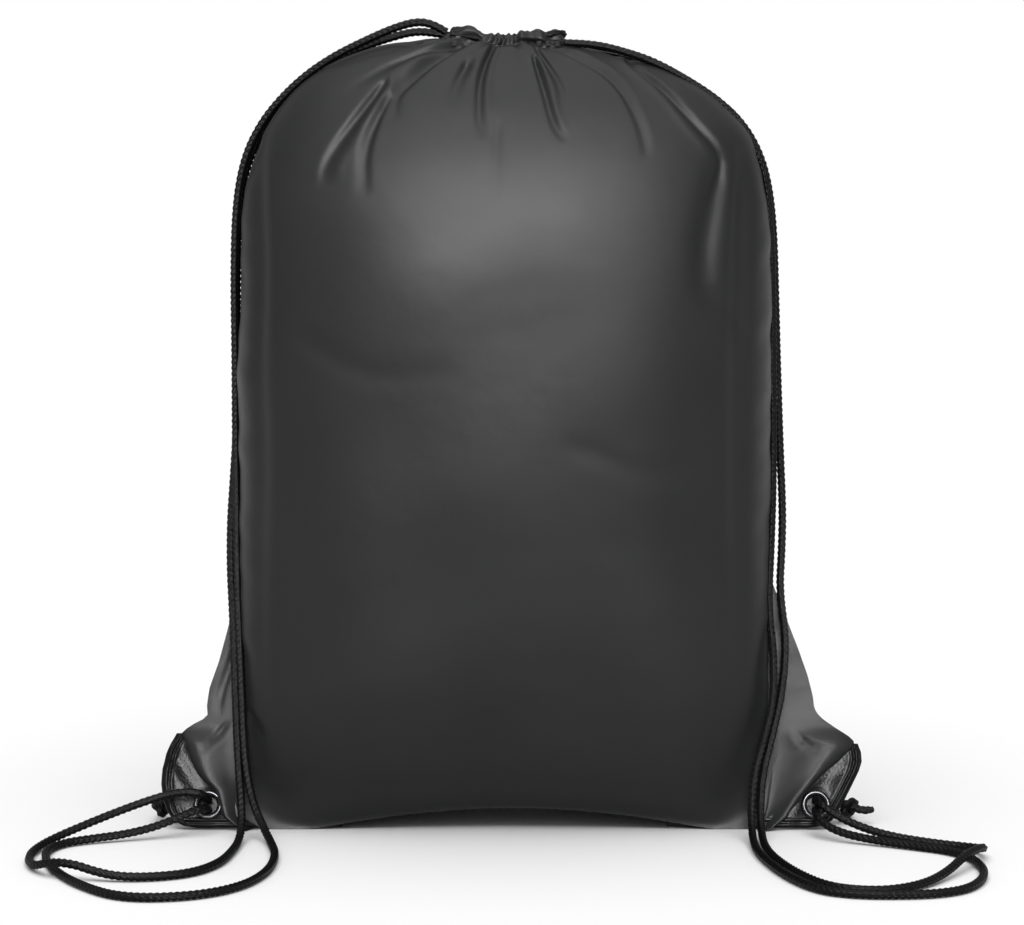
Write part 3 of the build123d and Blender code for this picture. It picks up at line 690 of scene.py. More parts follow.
# ---- materials ------------------------------------------------------------------------
class Wire:
    """A number inside a material, with ordinary arithmetic."""

    def __init__(self, tree, socket):
        self.tree = tree
        self.socket = socket

    def math(self, operation, *values):
        node = self.tree.nodes.new("ShaderNodeMath")
        node.operation = operation
        for socket, value in zip(node.inputs, values):
            if isinstance(value, Wire):
                self.tree.links.new(value.socket, socket)
            else:
                socket.default_value = value
        return Wire(self.tree, node.outputs[0])

    def __add__(self, other):
        return self.math("ADD", self, other)

    def __sub__(self, other):
        return self.math("SUBTRACT", self, other)

    def __rsub__(self, other):
        return self.math("SUBTRACT", other, self)

    def __mul__(self, other):
        return self.math("MULTIPLY", self, other)

    def __truediv__(self, other):
        return self.math("DIVIDE", self, other)

    def __rtruediv__(self, other):
        return self.math("DIVIDE", other, self)

    def __pow__(self, other):
        return self.math("POWER", self, other)

    __radd__ = __add__
    __rmul__ = __mul__

    def sine(self):
        return self.math("SINE", self)

    def size(self):
        return self.math("ABSOLUTE", self)

    def limited(self):
        return self.math("MAXIMUM", self.math("MINIMUM", self, 1.0), 0.0)


class Finish:
    """A material built node by node."""

    def __init__(self, name):
        self.material = bpy.data.materials.new(name)
        self.material.use_nodes = True
        self.tree = self.material.node_tree
        self.surface = self.tree.nodes["Principled BSDF"]

    def add(self, kind, output=0, settings=None, **sockets):
        node = self.tree.nodes.new(kind)
        for name, value in (settings or {}).items():
            setattr(node, name, value)
        for name, value in sockets.items():
            self.feed(node.inputs[name.replace("_", " ")], value)
        return Wire(self.tree, node.outputs[output])

    def feed(self, socket, value):
        if isinstance(value, Wire):
            self.tree.links.new(value.socket, socket)
        else:
            socket.default_value = value

    def place(self):
        return self.add("ShaderNodeTexCoord", output="Object")

    def cloth_place(self):
        """Across and along the unrolled cloth or cord, metres."""
        spot = self.add("ShaderNodeUVMap", settings={"uv_map": "rest_cloth"})
        split = self.add("ShaderNodeSeparateXYZ", output="X", Vector=spot)
        return spot, split, Wire(self.tree, split.socket.node.outputs["Y"])

    def noise(self, place, scale, detail=2.0):
        return self.add("ShaderNodeTexNoise", output="Fac", Vector=place, Scale=scale, Detail=detail)

    def blend(self, share, first, second):
        node = self.tree.nodes.new("ShaderNodeMix")
        node.data_type = "RGBA"
        self.feed(node.inputs["Factor"], share)
        self.feed(node.inputs[6], first)
        self.feed(node.inputs[7], second)
        return Wire(self.tree, node.outputs[2])

    def bump(self, height, strength, distance, under=None):
        sockets = {"Height": height, "Strength": strength, "Distance": distance}
        if under is not None:
            sockets["Normal"] = under
        return self.add("ShaderNodeBump", output="Normal", **sockets)

    def set(self, **sockets):
        for name, value in sockets.items():
            self.feed(self.surface.inputs[name.replace("_", " ")], value)
        return self.material


def colour(settings_colour, scale=1.0):
    return (settings_colour[0] * scale, settings_colour[1] * scale, settings_colour[2] * scale, 1.0)


def cloth_finish(sizes):
    """Satin polyester: plain weave, slow shade changes, and a soft sheen on folds."""
    finish = Finish("bag_cloth")
    _, across, along = finish.cloth_place()
    pitch = sizes.weave_pitch
    warp = (across * (math.pi / pitch)).sine()
    weft = (along * (math.pi / pitch)).sine()
    over = (warp * weft * 1.6 + 0.5).limited()
    threads = warp.size() * over + weft.size() * (1.0 - over)
    place = finish.place()
    slow = finish.noise(place, 18.0, 3.0)
    fine = finish.noise(place, 420.0, 2.0)
    crumple = finish.noise(place, 75.0, 4.0)
    shade = (slow * 0.7 + fine * 0.3)
    base = finish.blend(shade, colour(sizes.cloth_colour, 0.78), colour(sizes.cloth_colour, 1.3))
    normal = finish.bump(crumple, 0.16, 0.0016)
    normal = finish.bump(threads + fine * 0.3, 0.22, 0.00012, normal)
    finish.set(Base_Color=base, Roughness=slow * 0.12 + fine * 0.06 + 0.36, Normal=normal,
               Sheen_Weight=0.01, Sheen_Roughness=0.4, Specular_IOR_Level=0.17)
    return finish.material


def vinyl_finish(sizes):
    """Coated cloth of the corners: pebbled, glossy, scuffed a little at random."""
    finish = Finish("corner_vinyl")
    place = finish.place()
    pebbles = finish.add("ShaderNodeTexVoronoi", output="Distance", Vector=place, Scale=900.0)
    scuff = finish.noise(place, 160.0, 5.0)
    slow = finish.noise(place, 60.0, 2.0)
    base = finish.blend(scuff, colour(sizes.vinyl_colour, 0.7), colour(sizes.vinyl_colour, 1.7))
    normal = finish.bump(slow, 0.25, 0.0012)
    normal = finish.bump(pebbles, 0.28, 0.0003, normal)
    finish.set(Base_Color=base, Roughness=scuff * 0.16 + 0.22, Normal=normal, Coat_Weight=0.02,
               Coat_Roughness=0.15, Specular_IOR_Level=0.07)
    return finish.material


def cord_finish(sizes):
    """Braided polyester cord: fine yarns within each float, dull with a faint sheen."""
    finish = Finish("braided_cord")
    _, across, along = finish.cloth_place()
    place = finish.place()
    yarns = ((across * 1.4 + along) * (2 * math.pi / 0.00042)).sine() * 0.5 + 0.5
    fuzz = finish.noise(place, 900.0, 3.0)
    slow = finish.noise(place, 90.0, 2.0)
    base = finish.blend(yarns * 0.5 + fuzz * 0.5, colour(sizes.cord_colour, 0.6),
                        colour(sizes.cord_colour, 1.7))
    normal = finish.bump(yarns + fuzz * 0.6, 0.35, 0.00012)
    finish.set(Base_Color=base, Roughness=slow * 0.12 + 0.32, Normal=normal, Specular_IOR_Level=0.09)
    return finish.material


def metal_finish(sizes):
    """Gunmetal plating with fine handling scratches."""
    finish = Finish("eyelet_metal")
    place = finish.place()
    wear = finish.noise(place, 700.0, 4.0)
    scratches = finish.noise(place, 300.0, 6.0)
    base = finish.blend(wear, colour(sizes.metal_colour, 0.75), colour(sizes.metal_colour, 1.35))
    normal = finish.bump(scratches, 0.1, 0.0002)
    finish.set(Base_Color=base, Roughness=wear * 0.16 + 0.2, Metallic=1.0, Normal=normal)
    return finish.material


def thread_finish(sizes):
    """Sewing thread, twisted, a shade shinier than the cloth."""
    finish = Finish("thread")
    place = finish.place()
    twist = finish.noise(place, 2200.0, 2.0)
    base = finish.blend(twist, colour(sizes.cloth_colour, 0.7), colour(sizes.cloth_colour, 1.9))
    normal = finish.bump(twist, 0.4, 0.0001)
    finish.set(Base_Color=base, Roughness=twist * 0.15 + 0.45, Normal=normal, Specular_IOR_Level=0.2)
    return finish.material


def finish_named(name):
    """The material of that name, made on first use."""
    makers = {"bag_cloth": cloth_finish, "corner_vinyl": vinyl_finish, "braided_cord": cord_finish,
              "eyelet_metal": metal_finish, "thread": thread_finish}
    found = bpy.data.materials.get(name + "_look")
    if found is None:
        found = makers[name](bpy.context.scene.backpack)
        found.name = name + "_look"
    return found


# ---- stitches -------------------------------------------------------------------------
def stitch_run(name, lines, length, gap, width):
    """Thread stitches laid end to end along given lines, made by a node tree and then frozen."""
    verts, edges = [], []
    for line in lines:
        start = len(verts)
        verts += [tuple(np.array(point) * MM) for point in line]
        edges += [(start + i, start + i + 1) for i in range(len(line) - 1)]
    mesh = bpy.data.meshes.new(name)
    mesh.from_pydata(verts, edges, [])
    piece = bpy.data.objects.new(name, mesh)
    bpy.context.scene.collection.objects.link(piece)
    tree = stitch_tree()
    modifier = piece.modifiers.new("stitches", "NODES")
    modifier.node_group = tree
    wanted = {"Stitch length": length * MM, "Gap": gap * MM, "Thread width": width * MM}
    for item in tree.interface.items_tree:
        if item.item_type == "SOCKET" and item.in_out == "INPUT" and item.name in wanted:
            modifier[item.identifier] = wanted[item.name]
        if item.item_type == "SOCKET" and item.in_out == "INPUT" and item.name == "Thread":
            modifier[item.identifier] = finish_named("thread")
    bpy.context.view_layer.update()
    made = bpy.data.meshes.new_from_object(piece.evaluated_get(bpy.context.evaluated_depsgraph_get()))
    piece.modifiers.remove(modifier)
    piece.data = made
    made.polygons.foreach_set("use_smooth", [True] * len(made.polygons))
    if not made.polygons:
        raise RuntimeError(name + " came out with no stitches")
    return piece


def stitch_tree():
    """Node tree that turns lines into rows of plump stitches."""
    tree = bpy.data.node_groups.get("stitch_rows")
    if tree:
        return tree
    tree = bpy.data.node_groups.new("stitch_rows", "GeometryNodeTree")
    face = tree.interface
    face.new_socket("Lines", in_out="INPUT", socket_type="NodeSocketGeometry")
    for title, value in (("Stitch length", 0.0024), ("Gap", 0.0008), ("Thread width", 0.0006)):
        face.new_socket(title, in_out="INPUT", socket_type="NodeSocketFloat").default_value = value
    face.new_socket("Thread", in_out="INPUT", socket_type="NodeSocketMaterial")
    face.new_socket("Stitches", in_out="OUTPUT", socket_type="NodeSocketGeometry")
    nodes, links = tree.nodes, tree.links
    given = nodes.new("NodeGroupInput")
    result = nodes.new("NodeGroupOutput")
    curve = nodes.new("GeometryNodeMeshToCurve")
    links.new(given.outputs["Lines"], curve.inputs["Mesh"])
    step = nodes.new("ShaderNodeMath")
    step.operation = "ADD"
    links.new(given.outputs["Stitch length"], step.inputs[0])
    links.new(given.outputs["Gap"], step.inputs[1])
    even = nodes.new("GeometryNodeResampleCurve")
    even.mode = "LENGTH"
    links.new(curve.outputs["Curve"], even.inputs["Curve"])
    links.new(step.outputs[0], even.inputs["Length"])
    tangent = nodes.new("GeometryNodeInputTangent")
    turn = nodes.new("FunctionNodeAlignRotationToVector")
    turn.axis = "Z"
    links.new(tangent.outputs["Tangent"], turn.inputs["Vector"])
    ball = nodes.new("GeometryNodeMeshUVSphere")
    ball.inputs["Segments"].default_value = 8
    ball.inputs["Rings"].default_value = 6
    ball.inputs["Radius"].default_value = 0.5
    size = nodes.new("ShaderNodeCombineXYZ")
    links.new(given.outputs["Thread width"], size.inputs["X"])
    links.new(given.outputs["Thread width"], size.inputs["Y"])
    links.new(given.outputs["Stitch length"], size.inputs["Z"])
    lay = nodes.new("GeometryNodeInstanceOnPoints")
    links.new(even.outputs["Curve"], lay.inputs["Points"])
    links.new(ball.outputs["Mesh"], lay.inputs["Instance"])
    links.new(turn.outputs["Rotation"], lay.inputs["Rotation"])
    links.new(size.outputs["Vector"], lay.inputs["Scale"])
    real = nodes.new("GeometryNodeRealizeInstances")
    links.new(lay.outputs["Instances"], real.inputs["Geometry"])
    paint = nodes.new("GeometryNodeSetMaterial")
    links.new(real.outputs["Geometry"], paint.inputs["Geometry"])
    links.new(given.outputs["Thread"], paint.inputs["Material"])
    links.new(paint.outputs["Geometry"], result.inputs["Stitches"])
    return tree


# ---- cloth ----------------------------------------------------------------------------
FRONT_ROWS = 286
FRONT_COLUMNS = 322
BACK_ROWS = 226
BACK_COLUMNS = 250
_grids = {}


def front_grid():
    """The finished front grid, worked out once."""
    if "front" not in _grids:
        _grids["front"] = detail_front(front_points(FRONT_ROWS, FRONT_COLUMNS))
    return _grids["front"]


def back_grid():
    """The finished back grid and how many of its rows are the base."""
    if "back" not in _grids:
        points, base_rows = back_points(BACK_ROWS, BACK_COLUMNS)
        _grids["back"] = (detail_back(points, base_rows), base_rows)
    return _grids["back"]


def sit_on(points, row, out):
    """A line along one grid row, lifted off the cloth by `out`."""
    lifted = push_out(points, np.full(points.shape[:2], out))
    return lifted[row]


def corner_slab(rim, lip, side):
    """One coated corner: front face, rolled edge and back face in one closed strip, millimetres."""
    levels = np.linspace(rim[0][0], rim[-1][0], 84)
    outer = table(rim, levels)
    inner = table(lip, levels) - side * (9.0 - 8.0 * smooth_step((levels - rim[-1][0] + 16) / 15))
    normal = np.array([0.0, -math.cos(WING_LEAN), math.sin(WING_LEAN)])
    end = np.minimum(levels - levels[0], levels[-1] - levels)
    floor_end = levels - levels[0]
    pinch = np.sqrt(np.clip(1 - (1 - np.clip(end / 2.2, 0, 1)) ** 2, 0.0, 1))
    half = 2.0 - 1.3 * smooth_step((levels - rim[-1][0] + 12) / 12)
    front = np.linspace(0, 1, 46)
    back = np.linspace(1, 0, 24)
    turn = np.linspace(0, math.pi, 9)[1:-1]
    rows = []
    for level, rim_x, inner_x, thin, near_end, thick in zip(levels, outer, inner, pinch, floor_end, half):
        width = abs(rim_x - inner_x)
        row = []
        for share, face in [(value, 1) for value in front] + [(value, 0) for value in turn] + \
                [(value, -1) for value in back]:
            if face == 0:
                out = side * 1.2 * math.sin(share)
                lift = thick * math.cos(share)
                x = rim_x + out
            else:
                x = inner_x + (rim_x - inner_x) * share
                away = min(width * (1 - share), near_end + 0.4)
                bead = (0.75 * math.exp(-((away - 1.4) / 0.75) ** 2)
                        + 0.5 * math.exp(-((away - 4.0) / 0.7) ** 2))
                bead -= 0.35 * math.exp(-((away - 2.7) / 0.5) ** 2)
                lift = face * (thick + bead * smooth_step(away / 1.2) * (1.0 if face > 0 else 0.6))
            foot = np.array([x, WING_FOOT_Y + level * math.tan(WING_LEAN), level])
            row.append(foot + normal * lift * (0.25 + 0.75 * thin))
        rows.append(row)
    points = np.array(rows)
    wave = 0.25 * ripple(points[..., 0], points[..., 2], 71 + side, 5, 16)
    points += normal * wave[..., None]
    points[..., 2] = np.maximum(points[..., 2], 0.3)
    centre = eyelet_centre(side)
    away = points - centre
    flat = away - normal * (away @ normal)[..., None]
    distance = np.linalg.norm(flat, axis=2)
    dish = np.exp(-(np.clip(distance - 6, 0, 50) / 2.2) ** 2) * 0.5
    facing = np.sign(away @ normal)
    points -= normal * (dish * facing)[..., None]
    count = points.shape[1]
    faces = []
    for row in range(len(levels) - 1):
        for column in range(count - 1):
            spots = ((row, column), (row, column + 1), (row + 1, column + 1), (row + 1, column))
            if column < len(front) and max(distance[spot] for spot in spots) < 6.2:
                continue
            face = tuple(spot[0] * count + spot[1] for spot in spots)
            faces.append(face if side > 0 else face[::-1])
    return points.reshape(-1, 3), faces


def eyelet_centre(side):
    rise = EYELET_REACH * math.cos(WING_LEAN)
    return np.array([side * EYELET_X, WING_FOOT_Y + EYELET_REACH * math.sin(WING_LEAN), rise])


EYELET_SECTION = [
    (4.5, -2.6), (4.4, 0), (4.45, 2.2), (4.85, 3.0), (5.4, 3.55), (5.95, 3.72), (6.5, 3.55), (7.0, 3.05),
    (7.25, 2.5), (7.3, 2.05), (7.0, 1.85), (6.3, 1.9), (5.4, 1.85), (5.2, 0), (5.4, -1.8),
    (6.3, -1.9), (7.0, -1.85),
    (7.25, -2.1), (7.15, -2.6), (6.7, -3.15), (6.0, -3.5), (5.4, -3.4), (4.95, -3.05),
]


def eyelet_mesh(side):
    """Rolled eyelet and its washer as one turned ring."""
    centre = eyelet_centre(side)
    normal = np.array([0.0, -math.cos(WING_LEAN), math.sin(WING_LEAN)])
    across = np.array([1.0, 0.0, 0.0])
    up = np.cross(normal, across)
    turns = 72
    verts = []
    for step in range(turns):
        angle = 2 * math.pi * step / turns
        spoke = across * math.cos(angle) + up * math.sin(angle)
        for radius, lift in EYELET_SECTION:
            verts.append(centre + spoke * radius + normal * lift)
    count = len(EYELET_SECTION)
    faces = []
    for step in range(turns):
        after = (step + 1) % turns
        for spot in range(count):
            nearby = (spot + 1) % count
            faces.append((step * count + spot, step * count + nearby,
                          after * count + nearby, after * count + spot))
    return np.array(verts), faces


def knot_points(side, scale):
    """A tight overhand knot's line round its middle, millimetres."""
    low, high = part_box("left_knot" if side < 0 else "right_knot")
    centre = (np.array(low) + np.array(high)) / 2 / MM
    turn = np.linspace(0, 2 * math.pi, 120, endpoint=False)
    x = (np.sin(turn) + 2 * np.sin(2 * turn)) * scale
    z = (np.cos(turn) - 2 * np.cos(2 * turn)) * scale * 0.86
    y = -np.sin(3 * turn) * scale * 1.5
    return np.stack([centre[0] + side * 0.35 * y + x, centre[1] + y, centre[2] + z], axis=1)


# ---- add-on ---------------------------------------------------------------------------
class BackpackSizes(bpy.types.PropertyGroup):
    """Sizes and colours of the backpack's looks."""

    cloth_colour: FloatVectorProperty(
        name="Cloth colour", description="Colour of the bag cloth and its thread",
        default=(0.0045, 0.0046, 0.0049),
        subtype="COLOR", min=0.0, max=1.0)
    vinyl_colour: FloatVectorProperty(
        name="Corner colour", description="Colour of the coated corners", default=(0.0016, 0.0016, 0.0017),
        subtype="COLOR", min=0.0, max=1.0)
    cord_colour: FloatVectorProperty(
        name="Cord colour", description="Colour of the braided cords", default=(0.0010, 0.0010, 0.0011),
        subtype="COLOR", min=0.0, max=1.0)
    metal_colour: FloatVectorProperty(
        name="Eyelet colour", description="Colour of the eyelet plating", default=(0.045, 0.045, 0.048),
        subtype="COLOR", min=0.0, max=1.0)
    weave_pitch: FloatProperty(
        name="Weave pitch", description="Distance from thread to thread in the cloth", default=0.00042,
        min=0.0001, unit="LENGTH", precision=5)
    cord_width: FloatProperty(
        name="Cord width", description="Thickness of the braided cords", default=0.004, min=0.001,
        unit="LENGTH")
    stitch_length: FloatProperty(
        name="Stitch length", description="Length of one stitch on the hem and corners", default=0.0024,
        min=0.0005, unit="LENGTH")
    stage_width: FloatProperty(
        name="Stage width", description="Width of the pale floor", default=14.0, min=2.0, unit="LENGTH")
    lamp_width: FloatProperty(
        name="Lamp width", description="Width of the main lamp", default=0.7, min=0.1, unit="LENGTH")


class BACKPACK_OT_front_cloth(bpy.types.Operator):
    """Front cloth with its gathers and folds, and the front half of the hem casing"""

    bl_idname = "backpack.front_cloth"
    bl_label = "Front cloth"

    def execute(self, context):
        points = front_grid()
        split = FRONT_ROWS - CASING_ROWS
        body = cloth_piece("front_cloth", points[:split + 1])
        finish_piece(body, "bag", "bag_cloth", finish_named("bag_cloth"), "front_panel")
        hem = cloth_piece("front_hem_casing", points[split:])
        finish_piece(hem, "bag", "bag_cloth", finish_named("bag_cloth"), "front_casing")
        return {"FINISHED"}


class BACKPACK_OT_back_cloth(bpy.types.Operator):
    """Back cloth, base and the back half of the hem casing"""

    bl_idname = "backpack.back_cloth"
    bl_label = "Back cloth"

    def execute(self, context):
        points, _ = back_grid()
        split = points.shape[0] - CASING_ROWS
        body = cloth_piece("back_cloth", points[:split + 1])
        finish_piece(body, "bag", "bag_cloth", finish_named("bag_cloth"), "back_panel", "bottom_seam",
                     "left_side_seam", "right_side_seam")
        hem = cloth_piece("back_hem_casing", points[split:])
        finish_piece(hem, "bag", "bag_cloth", finish_named("bag_cloth"), "back_casing")
        return {"FINISHED"}


class BACKPACK_OT_corners(bpy.types.Operator):
    """Coated corner patches that hold the eyelets"""

    bl_idname = "backpack.corners"
    bl_label = "Coated corners"

    def execute(self, context):
        for name, rim, lip, side in (("left", LEFT_RIM, LEFT_LIP, -1), ("right", RIGHT_RIM, RIGHT_LIP, 1)):
            verts, faces = corner_slab(rim, lip, side)
            piece = piece_from(name + "_corner", verts, faces)
            finish_piece(piece, "bag", "corner_vinyl", finish_named("corner_vinyl"),
                         name + "_corner_patch_front", name + "_corner_patch_back")
        return {"FINISHED"}


class BACKPACK_OT_eyelets(bpy.types.Operator):
    """Rolled metal eyelets set through the corners"""

    bl_idname = "backpack.eyelets"
    bl_label = "Eyelets"

    def execute(self, context):
        for name, side in (("left", -1), ("right", 1)):
            verts, faces = eyelet_mesh(side)
            piece = piece_from(name + "_eyelet_ring", verts, faces)
            finish_piece(piece, "bag", "eyelet_metal", finish_named("eyelet_metal"),
                         name + "_eyelet", name + "_eyelet_washer")
        return {"FINISHED"}


class BACKPACK_OT_strands(bpy.types.Operator):
    """The four free strands that serve as shoulder straps"""

    bl_idname = "backpack.strands"
    bl_label = "Shoulder strands"

    def execute(self, context):
        width = context.scene.backpack.cord_width / MM
        for name, route in (("left_front_strand", LEFT_FRONT_ROUTE), ("left_rear_strand", LEFT_REAR_ROUTE),
                            ("right_front_strand", RIGHT_FRONT_ROUTE),
                            ("right_rear_strand", RIGHT_REAR_ROUTE)):
            points, length = spline_points(route, RING_STEP)
            verts, faces, uvs = braided_tube(points, width)
            piece = piece_from(name + "_cord", verts, faces, uvs)
            finish_piece(piece, "bag", "braided_cord", finish_named("braided_cord"), name)
        return {"FINISHED"}


class BACKPACK_OT_drawcords(bpy.types.Operator):
    """The stretches of cord inside the hem casing"""

    bl_idname = "backpack.drawcords"
    bl_label = "Cords in the casing"

    def execute(self, context):
        width = context.scene.backpack.cord_width / MM
        for name, route in (("left", LEFT_CASING_ROUTE), ("right", RIGHT_CASING_ROUTE)):
            points, _ = spline_points(route, RING_STEP)
            verts, faces, uvs = braided_tube(points, width * 0.98)
            piece = piece_from(name + "_casing_cord", verts, faces, uvs)
            finish_piece(piece, name + "_drawcord_body", "braided_cord", finish_named("braided_cord"),
                         name + "_drawcord")
        return {"FINISHED"}


class BACKPACK_OT_cord_ends(bpy.types.Operator):
    """Cord ends through the eyelets, their knots and short tails"""

    bl_idname = "backpack.cord_ends"
    bl_label = "Cord ends and knots"

    def execute(self, context):
        width = context.scene.backpack.cord_width / MM
        for name, side, ends, tails in (("left", -1, LEFT_END_ROUTES, LEFT_TAIL_ROUTES),
                                        ("right", 1, RIGHT_END_ROUTES, RIGHT_TAIL_ROUTES)):
            body = name + "_cord_end_body"
            pairs = [braided_tube(spline_points(route, RING_STEP)[0], width * 0.96) for route in ends]
            piece = piece_from(name + "_eyelet_cords", *joined(pairs))
            finish_piece(piece, body, "braided_cord", finish_named("braided_cord"), name + "_cord_end")
            pairs = [braided_tube(spline_points(route, RING_STEP)[0], width * 0.98, taper_end=3)
                     for route in tails]
            piece = piece_from(name + "_tail_ends", *joined(pairs))
            finish_piece(piece, body, "braided_cord", finish_named("braided_cord"), name + "_cord_tails")
            loop = knot_points(side, 1.28)
            piece = piece_from(name + "_tied_knot", *braided_tube(loop, width, closed=True))
            finish_piece(piece, body, "braided_cord", finish_named("braided_cord"), name + "_knot")
        return {"FINISHED"}


class BACKPACK_OT_stitches(bpy.types.Operator):
    """Stitches of the hem line, the coated corners and the casing ends"""

    bl_idname = "backpack.stitches"
    bl_label = "Stitches"

    def execute(self, context):
        length = context.scene.backpack.stitch_length / MM
        front = front_grid()
        line = sit_on(front, FRONT_ROWS - CASING_ROWS - 1, 0.15)
        edge = FRONT_COLUMNS // 8 + 2
        piece = stitch_run("front_hem_stitches", [line[edge:-edge:2]], length, 0.8, 0.6)
        finish_piece(piece, "bag", "thread", finish_named("thread"))
        back, _ = back_grid()
        line = sit_on(back, back.shape[0] - CASING_ROWS - 1, 0.15)
        piece = stitch_run("back_hem_stitches", [line[30:-30:2]], length, 0.8, 0.6)
        finish_piece(piece, "bag", "thread", finish_named("thread"))
        for name in ("left", "right"):
            low, high = (np.array(corner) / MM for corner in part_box(name + "_bar_tacks"))
            lines = []
            middle = (low + high) / 2
            for y in (low[1], high[1]):
                for row in range(BAR_TACK_ROWS):
                    level = middle[2] - 1.0 + BAR_TACK_PITCH * row
                    lines.append([(low[0], y, level), (middle[0], y, level), (high[0], y, level)])
            piece = stitch_run(name + "_bar_tack_threads", lines, 3.0, 0.1, 0.45)
            finish_piece(piece, "bag", "thread", finish_named("thread"), name + "_bar_tacks")
        for name, rim, side in (("left", LEFT_RIM, -1), ("right", RIGHT_RIM, 1)):
            normal = np.array([0.0, -math.cos(WING_LEAN), math.sin(WING_LEAN)])
            levels = np.linspace(rim[0][0] + 3.0, rim[-1][0] - 3.0, 40)
            across = table(rim, levels) - side * CORNER_STITCH_INSET
            lift = normal * CORNER_STITCH_LIFT
            line = [np.array([x, WING_FOOT_Y + level * math.tan(WING_LEAN), level]) + lift
                    for x, level in zip(across, levels)]
            piece = stitch_run(name + "_corner_stitches", [line], length, 0.8, 0.55)
            finish_piece(piece, "bag", "thread", finish_named("thread"))
        return {"FINISHED"}


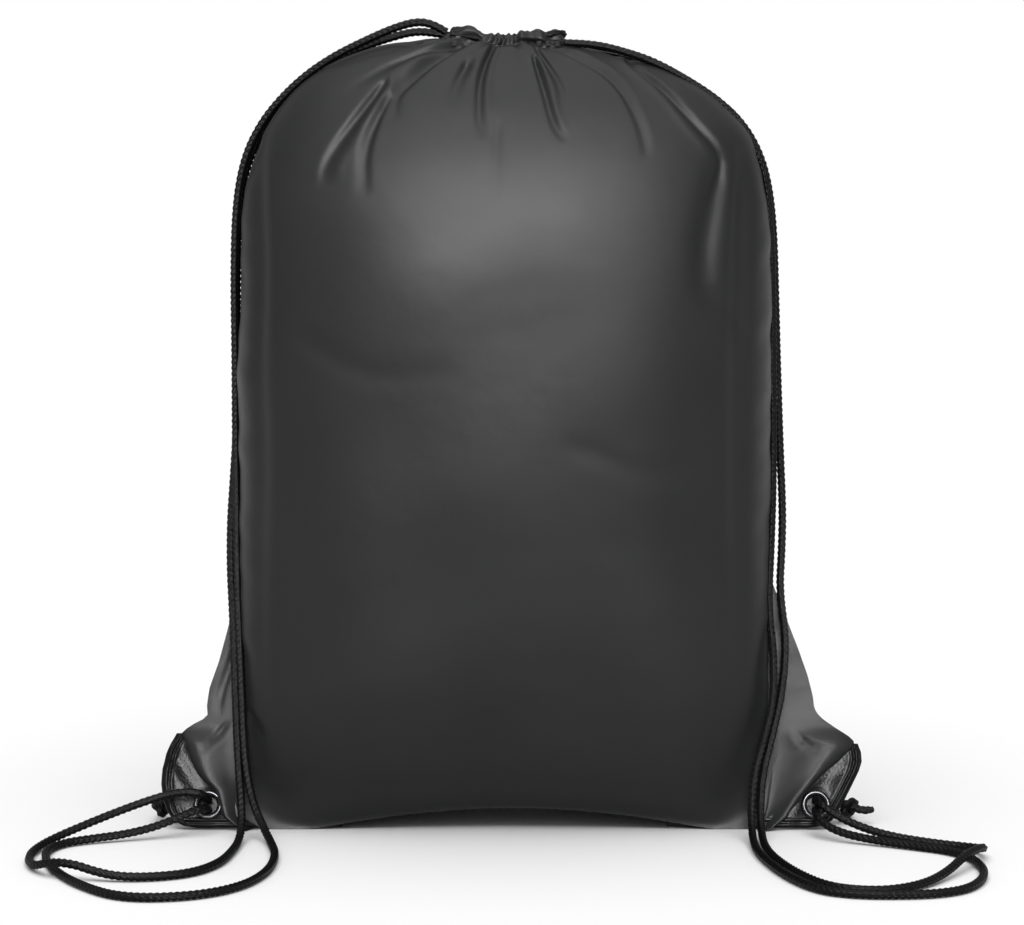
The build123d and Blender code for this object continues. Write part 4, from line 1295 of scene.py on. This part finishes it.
class BACKPACK_OT_stage(bpy.types.Operator):
    """Pale floor, soft studio light and the camera"""

    bl_idname = "backpack.stage"
    bl_label = "Stage"

    def execute(self, context):
        sizes = context.scene.backpack
        half = sizes.stage_width / 2
        mesh = bpy.data.meshes.new("floor")
        corners = [(-half, -half, 0), (half, -half, 0), (half, half, 0), (-half, half, 0)]
        mesh.from_pydata(corners, [], [(0, 1, 2, 3)])
        floor = bpy.data.objects.new("floor", mesh)
        context.scene.collection.objects.link(floor)
        finish = Finish("floor_look")
        finish.set(Base_Color=(FLOOR_SHADE, FLOOR_SHADE, FLOOR_SHADE, 1.0), Roughness=0.9,
                   Specular_IOR_Level=0.1)
        mesh.materials.append(finish.material)
        world = bpy.data.worlds.new("studio")
        context.scene.world = world
        world.use_nodes = True
        tree = world.node_tree
        sky = tree.nodes["Background"]
        sky.inputs["Color"].default_value = (1.0, 1.0, 1.0, 1.0)
        sky.inputs["Strength"].default_value = WORLD_STRENGTH
        backdrop = tree.nodes.new("ShaderNodeBackground")
        backdrop.inputs["Color"].default_value = (1.0, 1.0, 1.0, 1.0)
        seen = tree.nodes.new("ShaderNodeLightPath")
        choice = tree.nodes.new("ShaderNodeMixShader")
        tree.links.new(seen.outputs["Is Camera Ray"], choice.inputs["Fac"])
        tree.links.new(sky.outputs["Background"], choice.inputs[1])
        tree.links.new(backdrop.outputs["Background"], choice.inputs[2])
        tree.links.new(choice.outputs["Shader"], tree.nodes["World Output"].inputs["Surface"])
        sun = bpy.data.lights.new("overhead", "SUN")
        sun.energy = OVERHEAD_STRENGTH
        sun.angle = math.radians(OVERHEAD_SPREAD)
        holder = bpy.data.objects.new("overhead", sun)
        context.scene.collection.objects.link(holder)
        aim_along(holder, OVERHEAD_PLACE, (0.0, 0.0, 0.0))
        context.scene.view_settings.view_transform = "Standard"
        spared = bpy.data.collections.new("not_lit_by_lamps")
        spared.objects.link(floor)
        for name, place, aim, width, power in (
                ("key", (0.02, -1.50, 1.08), (0.0, -0.05, 0.29), sizes.lamp_width, KEY_POWER),
                ("left_fill", (-1.6, -0.9, 0.6), (-0.05, 0.0, 0.2), FILL_WIDTH, LEFT_FILL_POWER),
                ("right_fill", (1.6, -0.9, 0.6), (0.05, 0.0, 0.2), FILL_WIDTH, RIGHT_FILL_POWER)):
            lamp = bpy.data.lights.new(name, "AREA")
            lamp.shape = "RECTANGLE"
            lamp.size = width
            lamp.size_y = LAMP_HEIGHT * width
            lamp.energy = power
            lamp.spread = math.radians(KEY_SPREAD if name == "key" else FILL_SPREAD)
            holder = bpy.data.objects.new(name, lamp)
            context.scene.collection.objects.link(holder)
            aim_along(holder, place, aim)
            holder.light_linking.receiver_collection = spared
        # the lamps light everything but the floor, so their light isn't bounced back up
        spared.collection_objects[0].light_linking.link_state = "EXCLUDE"
        camera = bpy.data.cameras.new("camera")
        camera.sensor_width = 36.0
        camera.lens = CAMERA_LENS
        camera.clip_start = 0.05
        camera.clip_end = 40.0
        holder = bpy.data.objects.new("camera", camera)
        holder.location = CAMERA_PLACE
        holder.rotation_euler = (math.radians(90 - CAMERA_TILT_DOWN), 0.0, 0.0)
        context.scene.collection.objects.link(holder)
        context.scene.camera = holder
        return {"FINISHED"}


def aim_along(holder, place, target):
    """Put an object at a place and turn its -Z towards a target."""
    step = [end - start for start, end in zip(place, target)]
    flat = math.hypot(step[0], step[1])
    holder.location = place
    holder.rotation_euler = (math.atan2(flat, -step[2]), 0.0, math.atan2(-step[0], step[1]))


class BACKPACK_PT_panel(bpy.types.Panel):
    """Sidebar panel with the sizes and one button for each group of pieces"""

    bl_idname = "BACKPACK_PT_panel"
    bl_label = "Drawstring Backpack"
    bl_space_type = "VIEW_3D"
    bl_region_type = "UI"
    bl_category = "Backpack"

    def draw(self, context):
        for name in BackpackSizes.__annotations__:
            self.layout.prop(context.scene.backpack, name)
        for operator in OPERATORS:
            self.layout.operator(operator.bl_idname)


OPERATORS = (
    BACKPACK_OT_drawcords,
    BACKPACK_OT_cord_ends,
    BACKPACK_OT_strands,
    BACKPACK_OT_front_cloth,
    BACKPACK_OT_back_cloth,
    BACKPACK_OT_corners,
    BACKPACK_OT_eyelets,
    BACKPACK_OT_stitches,
    BACKPACK_OT_stage,
)
CLASSES = (BackpackSizes, BACKPACK_PT_panel, *OPERATORS)


def register():
    for item in CLASSES:
        bpy.utils.register_class(item)
    bpy.types.Scene.backpack = PointerProperty(type=BackpackSizes)


def unregister():
    del bpy.types.Scene.backpack
    for item in reversed(CLASSES):
        bpy.utils.unregister_class(item)


def main():
    register()
    bpy.ops.backpack.drawcords()
    bpy.ops.backpack.cord_ends()
    bpy.ops.backpack.strands()
    bpy.ops.backpack.front_cloth()
    bpy.ops.backpack.back_cloth()
    bpy.ops.backpack.corners()
    bpy.ops.backpack.eyelets()
    bpy.ops.backpack.stitches()
    bpy.ops.backpack.stage()


if __name__ == "__main__":
    main()
